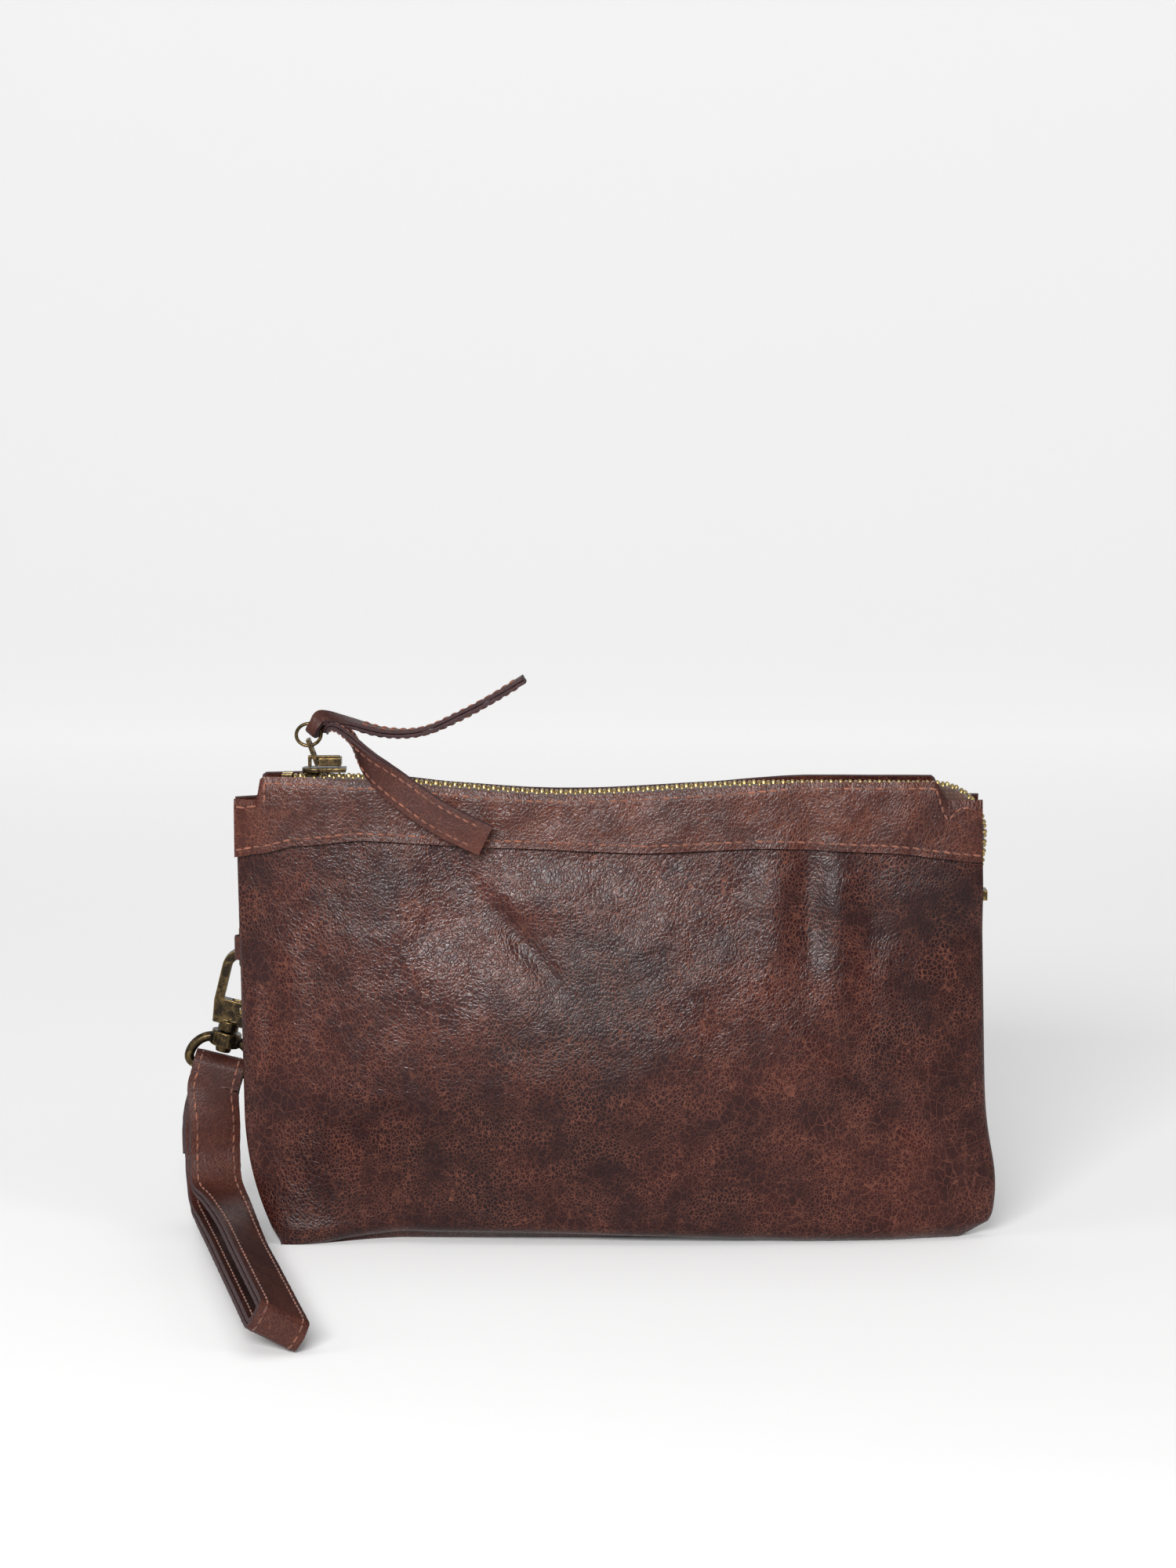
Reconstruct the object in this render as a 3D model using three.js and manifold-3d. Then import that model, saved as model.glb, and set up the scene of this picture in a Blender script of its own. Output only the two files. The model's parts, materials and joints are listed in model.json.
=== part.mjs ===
// Zippered leather pouch with a wrist strap on a swivel snap hook.
// Millimetres, +Z up, +X to the wearer's right as the pouch is seen from the front,
// -Y towards the viewer.  Origin: middle of the flat underside of the base.
import * as THREE from 'three';
import { mergeVertices } from 'three/addons/utils/BufferGeometryUtils.js';
import Module from 'manifold-3d';

const wasm = await Module();
wasm.setup();

// ---------------------------------------------------------------- driving dimensions
const POUCH_WIDTH = 224;        // side seam to side seam, widest
const CHAIN_HEIGHT = 139;       // underside of the base to the middle of the zip chain
const BASE_DEPTH = 26;          // flat base, front to back
const BASE_ROUND = 4;           // outer radius of the fold between base and back
const BELLY_DEPTH = 37;         // thickest place, about a third of the way up
const MOUTH_DEPTH = 15;         // front panel to back panel at the top edge
const LEATHER = 1.4;            // panel leather with its skived edge
const LINING = 0.5;
const TAPE = 0.6;
const TAPE_GAP = 0.9;           // between a tape and the panel it is sewn to
const CLEARANCE = 0.3;          // gap kept between touching pieces
const SEAM_DEPTH = 4.6;         // both panels together at a side seam
const SEAM_FLARE = 12;          // height over which the right seam opens below the zip's stop
const LEFT_TUCK = 12;           // how far the lower left corner is drawn in
const RIGHT_LEAN = 4;           // how far the right seam leans in at the top
const CORNER_RADIUS = 9;        // lower right corner, seen from the front

const BAND_HEIGHT = 18.5;
const BAND_TOP_DROP = 3.2;      // band edge below the middle of the chain
const PANEL_TOP_DROP = 8;       // raw panel edge, under the band
const BAND_OVERHANG = 0.4;      // band beyond the panel at each end
const LINING_TRIM = 4;          // lining short of the side seams

const ZIP_LEFT_INSET = 18;      // left seam to the first tooth
const ZIP_RIGHT_INSET = 3;      // right seam to the chain's straight run down
const CHAIN_CORNER_RADIUS = 14;
const CHAIN_DOWN = 21;          // straight run down the right side after the turn
const TOOTH_PITCH = 2.84;
const TOOTH_HEIGHT = 2.8;
const TOOTH_DEPTH = 2.4;
const TOOTH_VALLEY = 0.8;
const CHAIN_GAP = 1.5;          // between the two rows of teeth
const TAPE_DROP = 13;           // how far the tape reaches inside
const STOP_LENGTH = 3;          // the clips at both ends of the zip

const SLIDER_INSET = 9;         // first tooth to the slider's middle, zip closed
const SLIDER_LENGTH = 13;
const SLIDER_WIDTH = 7.2;
const SLIDER_PLATE = 1.3;
const SLIDER_POST = 0.9;        // width of the post between the plates
const BRIDGE_WIDTH = 2;
const BRIDGE_RISE = 2.2;
const BRIDGE_BAR = 1;
const PULL_WIDTH = 4.4;
const PULL_THICKNESS = 1.2;
const PULL_LEAN = -20;          // degrees, towards the left end
const RING_RADIUS = 3.65;
const RING_WIRE = 1.1;
const RING_TILT = 35;           // degrees, leaning back
const THONG_WIDTH = 9.4;
const THONG_THICKNESS = 2.2;

const D_RING_SHARE = 0.626;     // height of the D ring's middle, as a share of the chain's
const D_RING_LENGTH = 13;       // along its straight bar
const D_RING_REACH = 12;        // from the bar to the far side
const D_RING_WIRE = 2;
const HOOK_OFFSET = 5;          // hook plane, behind the D ring's straight bar
const HOOK_TILT = 14;           // degrees from plumb
const HOOK_WIRE_GAP = 3.2;      // inner radius of the bow
const HOOK_BAR = 2.8;           // width of the bow
const HOOK_THICKNESS = 4.2;
const HOOK_SHANK_TOP = -12;     // heights along the hook, 0 at the D ring wire
const HOOK_SHANK_END = -19.5;
const COLLAR_END = -21.5;
const COLLAR_DIAMETER = 6.2;
const SHANK_WIDTH = 10;
const HEEL_INSET = 1.4;         // gate pin, inwards from the middle of the bow's bar
const GATE_DROP = 2.4;          // gate pin, below the top of the shank
const GATE_THICKNESS = 1.6;
const GATE_PIN = 2;
const EYE_HEIGHT = 12.6;
const EYE_WIRE = 3;
const EYE_CORNER = 2.2;         // lower corners, to the wire's middle
const BOSS_DIAMETER = 9;
const BOSS_LENGTH = 4.4;
const POST_DIAMETER = 3.6;
const POST_SEAT = 2;            // how deep the post sits in the shank
const POST_HEAD = 5.2;          // diameter of its riveted head
const POST_HEAD_HEIGHT = 1.6;

const STRAP_WIDTH = 15;
const STRAP_PLAY = 1;           // strap to eye, both sides together
const STRAP_LAYER = 1.25;
const STRAP_LENGTH = 172;       // eye bar to the end of the loop
const STRAP_GAP = 3;            // between the two plies of the loop
const STRAP_TAIL = 26;          // sewn overlap below the eye
const STRAP_BEND = 0.12;        // share of its drop over which the strap turns along the ground
const STRAP_ROLL = 0.5;         // how far the lying strap rolls onto its right edge

const CHAIN_START = ZIP_LEFT_INSET - POUCH_WIDTH / 2;
const CHAIN_CORNER_X = POUCH_WIDTH / 2 - ZIP_RIGHT_INSET - CHAIN_CORNER_RADIUS;
const SLIDER_X = CHAIN_START + SLIDER_INSET;
const D_RING_HEIGHT = CHAIN_HEIGHT * D_RING_SHARE;
const EYE_WIDTH = STRAP_WIDTH + STRAP_PLAY + 2 * EYE_WIRE;

const rad = THREE.MathUtils.degToRad;
const lerp = THREE.MathUtils.lerp;
const clamp = THREE.MathUtils.clamp;
const smooth = THREE.MathUtils.smoothstep;

// ---------------------------------------------------------------- finishes
const finish = (color, roughness, metalness = 0) =>
  new THREE.MeshStandardMaterial({ color, roughness, metalness });
const leather = () => finish(0x4a2c24, 0.5);
const bandLeather = () => finish(0x54332a, 0.5);
const strapLeather = () => finish(0x48291f, 0.55);
const liningCloth = () => finish(0x6f6250, 0.9);
const tapeCloth = () => finish(0x4b3328, 0.85);
const toothBrass = () => finish(0xa58a4c, 0.35, 1);
const antiqueBrass = () => finish(0x5d4d2c, 0.4, 1);
const springSteel = () => finish(0x8a8a88, 0.35, 1);

const pouch = new THREE.Group();

function part(name, geometry, material, parent = pouch) {
  const mesh = new THREE.Mesh(geometry, material);
  mesh.name = name;
  parent.add(mesh);
  return mesh;
}

// ---------------------------------------------------------------- solids
function bare(geometry) {
  const copy = geometry.clone();
  copy.deleteAttribute('normal');
  copy.deleteAttribute('uv');
  return mergeVertices(copy, 1e-4);
}

function solid(geometry) {
  const merged = bare(geometry);
  return new wasm.Manifold(new wasm.Mesh({
    numProp: 3,
    vertProperties: new Float32Array(merged.attributes.position.array),
    triVerts: new Uint32Array(merged.index.array),
  }));
}

function geometryOf(manifold) {
  const mesh = manifold.getMesh();
  const geometry = new THREE.BufferGeometry();
  geometry.setAttribute('position', new THREE.BufferAttribute(mesh.vertProperties, 3));
  geometry.setIndex(new THREE.BufferAttribute(mesh.triVerts, 1));
  geometry.computeVertexNormals();
  return geometry;
}

const cut = (body, ...tools) =>
  geometryOf(tools.reduce((rest, tool) => rest.subtract(solid(tool)), solid(body)));
const join = (...bodies) =>
  geometryOf(bodies.slice(1).reduce((sum, body) => sum.add(solid(body)), solid(bodies[0])));

// Turns every face round where place() has mirrored the box, so that faces point out.
function facingOut(geometry) {
  const at = geometry.attributes.position;
  const index = geometry.index.array;
  const corner = [new THREE.Vector3(), new THREE.Vector3(), new THREE.Vector3()];
  let volume = 0;
  for (let i = 0; i < index.length; i += 3) {
    corner.forEach((point, k) => point.fromBufferAttribute(at, index[i + k]));
    volume += corner[0].dot(corner[1].cross(corner[2]));
  }
  if (volume < 0) {
    index.reverse();
  }
  return geometry;
}

// A curved slab: a box of along x across cells whose corners are sent through place(u, v, w),
// with u along, v across and w through the thickness, each from 0 to 1.
function slab(along, across, place) {
  const geometry = new THREE.BoxGeometry(1, 1, 1, along, across, 1);
  const corners = geometry.attributes.position;
  for (let i = 0; i < corners.count; i += 1) {
    const point = place(corners.getX(i) + 0.5, corners.getY(i) + 0.5, corners.getZ(i) + 0.5);
    corners.setXYZ(i, point.x, point.y, point.z);
  }
  const closed = facingOut(bare(geometry));
  closed.computeVertexNormals();
  return closed;
}

const vec = (x, y, z) => new THREE.Vector3(x, y, z);

// A rod along Y, centred at (x, y, z).
function rodY(diameter, length, x, y, z, sides = 20) {
  return new THREE.CylinderGeometry(diameter / 2, diameter / 2, length, sides).translate(x, y, z);
}

// A rod or cone along Z, standing between two heights.
function rodZ(diameter, upperDiameter, low, high, sides = 20) {
  return new THREE.CylinderGeometry(upperDiameter / 2, diameter / 2, high - low, sides)
    .rotateX(Math.PI / 2).translate(0, 0, (low + high) / 2);
}

function block(width, depth, height, x, y, z) {
  return new THREE.BoxGeometry(width, depth, height).translate(x, y, z);
}


// ---------------------------------------------------------------- pouch walls
const DEPTH_STATIONS = [
  [0, BASE_DEPTH / 2],
  [0.36 * CHAIN_HEIGHT, BELLY_DEPTH / 2],
  [CHAIN_HEIGHT - BAND_TOP_DROP, MOUTH_DEPTH / 2],
];

// Half the pouch's depth at its middle, at height z, from station to station by half cosines.
function middleDepth(z) {
  const [foot, belly, mouth] = DEPTH_STATIONS;
  const [low, high] = z < belly[0] ? [foot, belly] : [belly, mouth];
  const share = clamp((z - low[0]) / (high[0] - low[0]), 0, 1);
  return lerp(low[1], high[1], (1 - Math.cos(share * Math.PI)) / 2);
}

const leftEdge = (z) => -POUCH_WIDTH / 2 + LEFT_TUCK * Math.max(0, 1 - z / CHAIN_HEIGHT) ** 3;

function rightEdge(z) {
  const lean = RIGHT_LEAN * (z / CHAIN_HEIGHT);
  const below = Math.max(0, CORNER_RADIUS - z);
  return POUCH_WIDTH / 2 - lean - (CORNER_RADIUS - Math.sqrt(CORNER_RADIUS ** 2 - below ** 2));
}

// Half the gap between the walls' outer faces at the edge: the side seam, or at the upper right,
// where the zip runs down between the walls, room for the teeth.
function edgeDepth(share, z) {
  const zipEnd = CHAIN_HEIGHT - CHAIN_CORNER_RADIUS - CHAIN_DOWN;
  const besideZip = CHAIN_GAP / 2 + TOOTH_DEPTH + TAPE + 2 * CLEARANCE + LEATHER;
  const stopEnd = zipEnd - STOP_LENGTH - 2 * CLEARANCE;
  const opening = smooth(z, stopEnd - SEAM_FLARE, stopEnd) * smooth(share, 0.5, 0.8);
  return lerp(SEAM_DEPTH / 2, besideZip, opening);
}

// Half depth of the leather's outer face at (x, z): a lens between the two side seams, with
// blunter ends towards the mouth.
function halfDepth(x, z) {
  const share = clamp((x - leftEdge(z)) / (rightEdge(z) - leftEdge(z)), 0, 1);
  const squareness = lerp(2.2, 7, smooth(z, 0.7 * CHAIN_HEIGHT, CHAIN_HEIGHT));
  const lens = (1 - Math.abs(2 * share - 1) ** squareness) ** 0.8;
  const edge = edgeDepth(share, z);
  return edge + (middleDepth(z) - edge) * lens;
}

// Columns sit closer together towards the seams, where the walls turn fastest.
const closerAtEnds = (u) => (1 - Math.cos(Math.PI * u)) / 2;

// One wall skin: side is -1 at the front and +1 at the back, inset is the depth of its outer
// face below the leather's outer face, and trim(z) is what it stops short of the right seam.
function wallSkin(side, inset, thickness, low, high, trim, leftTrim, across) {
  return slab(24, across, (u, v, w) => {
    const z = lerp(low, high, v);
    const x = lerp(leftEdge(z) + leftTrim, rightEdge(z) - trim(z), closerAtEnds(u));
    const outer = Math.max(halfDepth(x, z) - inset, CLEARANCE / 2 + thickness);
    return vec(x, side * (outer - (1 - w) * thickness), z);
  });
}

// The back panel runs on under the pouch as its base, up to the front edge.
function backAndBase(u, v, w) {
  const foldStart = 6 / 24;
  const foldEnd = 9 / 24;
  const inward = (1 - w) * LEATHER;
  const top = CHAIN_HEIGHT - PANEL_TOP_DROP;
  const z = v < foldEnd ? BASE_ROUND : lerp(BASE_ROUND, top, (v - foldEnd) / (1 - foldEnd));
  const edgeZ = v < foldStart ? 0 : z * clamp((v - foldStart) / (foldEnd - foldStart), 0, 1);
  const x = lerp(leftEdge(edgeZ), rightEdge(edgeZ), closerAtEnds(u));
  if (v <= foldStart) {
    const front = -halfDepth(x, 0);
    const back = halfDepth(x, BASE_ROUND) - Math.min(BASE_ROUND, halfDepth(x, BASE_ROUND) / 2);
    return vec(x, lerp(front, back, v / foldStart), inward);
  }
  if (v < foldEnd) {
    const round = Math.min(BASE_ROUND, halfDepth(x, BASE_ROUND) / 2);
    const turn = ((v - foldStart) / (foldEnd - foldStart)) * (Math.PI / 2);
    const centre = halfDepth(x, BASE_ROUND) - round;
    const reach = round - inward;
    const rise = BASE_ROUND - inward;
    return vec(x, centre + reach * Math.sin(turn), BASE_ROUND - rise * Math.cos(turn));
  }
  return vec(x, halfDepth(x, z) - inward, z);
}

const PANEL_TOP = CHAIN_HEIGHT - PANEL_TOP_DROP;
const LINING_INSET = LEATHER + CLEARANCE + TAPE + CLEARANCE;
const FRONT_FOOT = LEATHER + CLEARANCE;
const LINING_FOOT = FRONT_FOOT + 2;

part('back_panel', slab(24, 24, backAndBase), leather());
part('front_panel', wallSkin(-1, 0, LEATHER, FRONT_FOOT, PANEL_TOP, () => 0, 0, 10), leather());

// The lining hangs inside the tapes, so it stops short of the zip at the top and at the right.
function lining(side, foot) {
  const top = CHAIN_HEIGHT - TAPE_DROP - CLEARANCE;
  const zipEnd = CHAIN_HEIGHT - CHAIN_CORNER_RADIUS - CHAIN_DOWN;
  const besideTape = TAPE_DROP + LINING_TRIM;
  const trim = (z) => lerp(LINING_TRIM, besideTape, smooth(z, zipEnd - SEAM_FLARE, zipEnd - 2));
  return wallSkin(side, LINING_INSET, LINING, foot, top, trim, LINING_TRIM, 7);
}
part('back_lining', lining(1, LINING_FOOT + BASE_ROUND), liningCloth());
part('front_lining', lining(-1, LINING_FOOT), liningCloth());

// ---------------------------------------------------------------- top bands
// A folded band lies outside each panel; its top edge follows the chain a little below it.
function band(side) {
  const top = CHAIN_HEIGHT - BAND_TOP_DROP;
  const overhang = () => -BAND_OVERHANG;
  const outset = CLEARANCE + LEATHER;
  return wallSkin(side, -outset, LEATHER, top - BAND_HEIGHT, top, overhang, -BAND_OVERHANG, 3);
}
part('front_band', band(-1), bandLeather());
part('back_band', band(1), bandLeather());

// ---------------------------------------------------------------- zip chain and tapes
// The chain runs level, turns down around the right corner and ends beside the side seam.
const CORNER_TURN = (Math.PI / 2) * CHAIN_CORNER_RADIUS;
const CHAIN_LENGTH = CHAIN_CORNER_X - CHAIN_START + CORNER_TURN + CHAIN_DOWN;
const TOOTH_COUNT = Math.floor(CHAIN_LENGTH / TOOTH_PITCH);

function chainAt(distance) {
  const level = CHAIN_CORNER_X - CHAIN_START;
  if (distance <= level) {
    return { x: CHAIN_START + distance, z: CHAIN_HEIGHT, inX: 0, inZ: -1 };
  }
  const turn = Math.min((distance - level) / CHAIN_CORNER_RADIUS, Math.PI / 2);
  const down = Math.max(0, distance - level - CORNER_TURN);
  return {
    x: CHAIN_CORNER_X + CHAIN_CORNER_RADIUS * Math.sin(turn),
    z: CHAIN_HEIGHT - CHAIN_CORNER_RADIUS * (1 - Math.cos(turn)) - down,
    inX: -Math.sin(turn),
    inZ: -Math.cos(turn),
  };
}

const TOOTH_INNER = CHAIN_GAP / 2;
const TOOTH_OUTER = TOOTH_INNER + TOOTH_DEPTH;

// A comb of teeth on one spine: low between the teeth and full height on them.
function teeth(side) {
  const cells = TOOTH_COUNT * 2;
  return slab(cells, 1, (u, v, w) => {
    const step = Math.round(u * cells);
    const at = chainAt((step / 2) * TOOTH_PITCH);
    const crest = TOOTH_HEIGHT / 2 - (step % 2 === 0 ? 0 : TOOTH_VALLEY);
    const out = lerp(-TOOTH_HEIGHT / 2, crest, v);
    return vec(at.x - at.inX * out, side * lerp(TOOTH_INNER, TOOTH_OUTER, w), at.z - at.inZ * out);
  });
}

// The woven tape leaves the teeth sideways, between the slider's plates, and drops inside the
// panel: outwards at once where the wall is wide, and below the teeth where the wall is narrow.
// Its thickness is laid off down and inwards, which suits both stretches.
function tape(side) {
  const inset = LEATHER + TAPE_GAP;
  const start = TOOTH_OUTER + CLEARANCE + TAPE;
  return slab(34, 7, (u, v, w) => {
    const at = chainAt(u * TOOTH_COUNT * TOOTH_PITCH);
    const reach = (TAPE_DROP - TAPE) * v * v + w * TAPE * Math.SQRT1_2;
    const x = at.x + at.inX * reach;
    const z = at.z + at.inZ * reach;
    const wall = Math.max(halfDepth(x, z) - inset, CLEARANCE / 2 + TAPE);
    const spread = Math.sin(clamp(v / 0.35, 0, 1) * (Math.PI / 2));
    const y = lerp(start, wall, wall > start ? spread : smooth(v, 0.4, 0.65));
    return vec(x, side * (y - w * TAPE * Math.SQRT1_2), z);
  });
}

part('zip_teeth_front', teeth(-1), toothBrass());
part('zip_teeth_rear', teeth(1), toothBrass());
part('zip_tape_front', tape(-1), tapeCloth());
part('zip_tape_rear', tape(1), tapeCloth());

// A clip crimped on each tape stops the slider at the closed end.
function topStop(side) {
  const x = CHAIN_START - CLEARANCE - STOP_LENGTH / 2;
  const y = side * (TOOTH_INNER + TOOTH_DEPTH / 2);
  return block(STOP_LENGTH, TOOTH_DEPTH, TOOTH_HEIGHT, x, y, CHAIN_HEIGHT);
}
part('top_stop_front', topStop(-1), toothBrass());
part('top_stop_rear', topStop(1), toothBrass());

// One clip across both rows stops it at the bottom of the right side.
const chainFoot = chainAt(TOOTH_COUNT * TOOTH_PITCH);
const bottomStop = block(TOOTH_HEIGHT, 2 * TOOTH_OUTER, STOP_LENGTH, chainFoot.x, 0,
  chainFoot.z - CLEARANCE - STOP_LENGTH / 2);
part('bottom_stop', bottomStop, toothBrass());

// ---------------------------------------------------------------- slider and pull
const PLATE_GAP = TOOTH_HEIGHT + 2 * CLEARANCE;
const topPlateFace = CHAIN_HEIGHT + PLATE_GAP / 2 + SLIDER_PLATE;

// Two plates above and below the chain, narrower behind, held apart by a post in the nose.
function sliderPlate(z) {
  const half = SLIDER_LENGTH / 2;
  const wide = SLIDER_WIDTH / 2;
  const narrow = wide * 0.72;
  const shape = new THREE.Shape();
  shape.moveTo(half, -narrow);
  shape.lineTo(half, narrow);
  shape.quadraticCurveTo(0, narrow, -half * 0.3, wide);
  shape.quadraticCurveTo(-half, wide, -half, 0);
  shape.quadraticCurveTo(-half, -wide, -half * 0.3, -wide);
  shape.quadraticCurveTo(0, -narrow, half, -narrow);
  const plate = new THREE.ExtrudeGeometry(shape, {
    depth: SLIDER_PLATE,
    curveSegments: 6,
    bevelEnabled: false,
  });
  return plate.translate(SLIDER_X, 0, z);
}

function slider() {
  const low = CHAIN_HEIGHT - PLATE_GAP / 2 - SLIDER_PLATE;
  const post = block(SLIDER_LENGTH / 3, SLIDER_POST, PLATE_GAP + SLIDER_PLATE,
    SLIDER_X - SLIDER_LENGTH / 4, 0, CHAIN_HEIGHT);
  return join(sliderPlate(low), sliderPlate(CHAIN_HEIGHT + PLATE_GAP / 2), post);
}
part('slider_body', slider(), antiqueBrass());

const BRIDGE_LENGTH = 0.72 * SLIDER_LENGTH;
const bridgeFoot = topPlateFace + CLEARANCE;
function bridge() {
  const arch = block(BRIDGE_LENGTH, BRIDGE_WIDTH, BRIDGE_RISE + BRIDGE_BAR,
    SLIDER_X, 0, bridgeFoot + (BRIDGE_RISE + BRIDGE_BAR) / 2);
  const hollow = block(BRIDGE_LENGTH - 2 * BRIDGE_BAR, BRIDGE_WIDTH * 2, BRIDGE_RISE * 2,
    SLIDER_X, 0, bridgeFoot);
  return cut(arch, hollow);
}
part('slider_bridge', bridge(), antiqueBrass());

// The pull stands on a crossbar under the bridge; its window passes over the bridge.
const PULL_BAR = 1.3;
const pullX = SLIDER_X - BRIDGE_LENGTH / 2 + BRIDGE_BAR + CLEARANCE + PULL_BAR;
const pullPivot = vec(pullX, 0, bridgeFoot + CLEARANCE + PULL_BAR / 2);
const pullWindow = BRIDGE_RISE + BRIDGE_BAR + 3 * CLEARANCE - PULL_BAR;
const ringHole = RING_WIRE + 4 * CLEARANCE + 0.3;
const PULL_RIM = 0.8;
const ringHoleRise = PULL_BAR / 2 + pullWindow + PULL_RIM + ringHole / 2;

function pull() {
  const height = ringHoleRise + ringHole / 2 + PULL_RIM + PULL_BAR / 2;
  const plate = block(PULL_THICKNESS, PULL_WIDTH, height, 0, 0, height / 2 - PULL_BAR / 2);
  const window = block(PULL_THICKNESS * 3, BRIDGE_WIDTH + 2 * CLEARANCE, pullWindow,
    0, 0, PULL_BAR / 2 + pullWindow / 2);
  const hole = new THREE.CylinderGeometry(ringHole / 2, ringHole / 2, PULL_THICKNESS * 3, 16);
  hole.rotateZ(Math.PI / 2).translate(0, 0, ringHoleRise);
  return cut(plate, window, hole);
}
const pullGroup = new THREE.Group();
pullGroup.position.copy(pullPivot);
pullGroup.rotation.y = rad(PULL_LEAN);
pouch.add(pullGroup);
part('pull_tab', pull(), antiqueBrass(), pullGroup);

// The split ring passes through the pull's hole a little to the right of its own lowest point.
const RING_CONTACT = rad(-80);  // where the pull holds it, from the ring's +X side
const ringAcross = vec(1, 0, 0);
const ringUp = vec(0, Math.sin(rad(RING_TILT)), Math.cos(rad(RING_TILT)));
const onRing = (angle) => ringAcross.clone().multiplyScalar(RING_RADIUS * Math.cos(angle))
  .addScaledVector(ringUp, RING_RADIUS * Math.sin(angle));
const pullHole = pullPivot.clone().add(
  vec(0, 0, ringHoleRise).applyAxisAngle(vec(0, 1, 0), rad(PULL_LEAN)));
const ringCentre = pullHole.clone().sub(onRing(RING_CONTACT));

function ring(radius, diameter, around, sides) {
  return new THREE.TorusGeometry(radius, diameter / 2, sides, around);
}
const ringMesh = part('pull_ring', ring(RING_RADIUS, RING_WIRE, 32, 8), antiqueBrass());
ringMesh.position.copy(ringCentre);
ringMesh.rotation.x = Math.PI / 2 - rad(RING_TILT);

// ---------------------------------------------------------------- leather ribbons
// A flat strip along stations {at, across, share}: at is a point of its middle line, across its
// width direction there and share its part of the full width.  low and high are the offsets of
// its two faces along its normal.
function ribbon(stations, width, low, high, steps) {
  const middle = new THREE.CatmullRomCurve3(stations.map((one) => one.at));
  const sides = new THREE.CatmullRomCurve3(stations.map((one) => one.across));
  const shares = new THREE.CatmullRomCurve3(stations.map((one) => vec(one.share, 0, 0)));
  return slab(steps, 1, (u, v, w) => {
    const along = middle.getTangent(u);
    const across = sides.getPoint(u);
    across.addScaledVector(along, -across.dot(along)).normalize();
    const normal = along.clone().cross(across);
    return middle.getPoint(u)
      .addScaledVector(across, (v - 0.5) * width * shares.getPoint(u).x)
      .addScaledVector(normal, lerp(low, high, w));
  });
}

const station = (at, across, share = 1) => ({ at, across, share });

// The thong is one strip folded through the ring, pinched there.  One tail stands off to the
// right on edge; the other turns flat and hangs over the front band.
const thongHold = rad(48);
const thongFold = ringCentre.clone().add(onRing(thongHold));
const ringOut = onRing(thongHold).normalize();
const ringAlong = onRing(thongHold + Math.PI / 2).normalize();
const ringSide = ringOut.clone().cross(ringAlong).negate();
const PINCH = 0.34;
const foldReach = RING_WIRE / 2 + 2 * CLEARANCE + THONG_THICKNESS / 2;
const nearFold = (out, side) => ringOut.clone().multiplyScalar(out).addScaledVector(ringSide, side);
const bandFace = halfDepth(thongFold.x, CHAIN_HEIGHT - BAND_TOP_DROP) + CLEARANCE + LEATHER;
const overBand = -bandFace - thongFold.y - THONG_THICKNESS / 2 - 2;
const flat = vec(0.75, -0.1, 0.64);
const edgewise = vec(0, -1, 0);
const THONG_STATIONS = [
  station(vec(50, overBand - 3.5, -30), flat),
  station(vec(36, overBand - 2.5, -24), flat),
  station(vec(24, overBand - 1, -16), vec(0.72, -0.2, 0.62)),
  station(vec(15, overBand + 2, -8), vec(0.3, -0.75, 0.5)),
  station(vec(8, -3, -1), vec(-0.3, -0.9, 0.2), 0.8),
  station(nearFold(2.4, foldReach), ringAlong.clone().negate(), PINCH + 0.1),
  station(nearFold(-0.4, foldReach), ringAlong.clone().negate(), PINCH),
  station(nearFold(-foldReach, 0), ringAlong.clone().negate(), PINCH),
  station(nearFold(-0.4, -foldReach), ringAlong.clone().negate(), PINCH),
  station(nearFold(2.4, -foldReach), ringAlong.clone().negate(), PINCH + 0.1),
  station(vec(9, 2.5, 0.8), vec(-0.2, -1, 0), 0.8),
  station(vec(20, 1.6, -2), edgewise),
  station(vec(31, 0.8, -1.6), edgewise),
  station(vec(42, 0.8, 3), edgewise),
  station(vec(52, 0.8, 8.4), edgewise),
  station(vec(61, 0.8, 14), edgewise),
];
THONG_STATIONS.forEach((one) => one.at.add(thongFold));
part('pull_thong', ribbon(THONG_STATIONS, THONG_WIDTH, -THONG_THICKNESS / 2,
  THONG_THICKNESS / 2, 80), strapLeather());

// ---------------------------------------------------------------- D ring and its tab
// The straight bar stands upright behind the left seam and the ring is swung to the back.
const seamX = leftEdge(D_RING_HEIGHT);
const TAB_LEATHER = 1;
const TAB_WIDTH = 7;
const dBarX = seamX + D_RING_WIRE / 2;
const dBarY = SEAM_DEPTH / 2 + 1 + CLEARANCE + TAB_LEATHER + CLEARANCE + D_RING_WIRE / 2;
const dBow = D_RING_LENGTH / 2 - D_RING_WIRE / 2;

function dRingCurve() {
  const shape = new THREE.Path();
  const reach = D_RING_REACH - D_RING_WIRE;
  const round = dBow * 0.5;
  shape.moveTo(0, dBow);
  shape.lineTo(0, -dBow);
  shape.lineTo(reach - round, -dBow);
  shape.absarc(reach - round, -dBow + round, round, -Math.PI / 2, 0);
  shape.absarc(reach - round, dBow - round, round, 0, Math.PI / 2);
  shape.lineTo(0, dBow);
  return shape;
}

// A closed wire along a flat outline, drawn as its points in the YZ plane at x.
function closedWire(outline, points, diameter, steps, sides) {
  const corners = outline.getSpacedPoints(points).slice(0, -1);
  const curve = new THREE.CatmullRomCurve3(corners.map((p) => vec(0, p.x, p.y)), true);
  return slabRing(curve, diameter, steps, sides);
}

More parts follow.
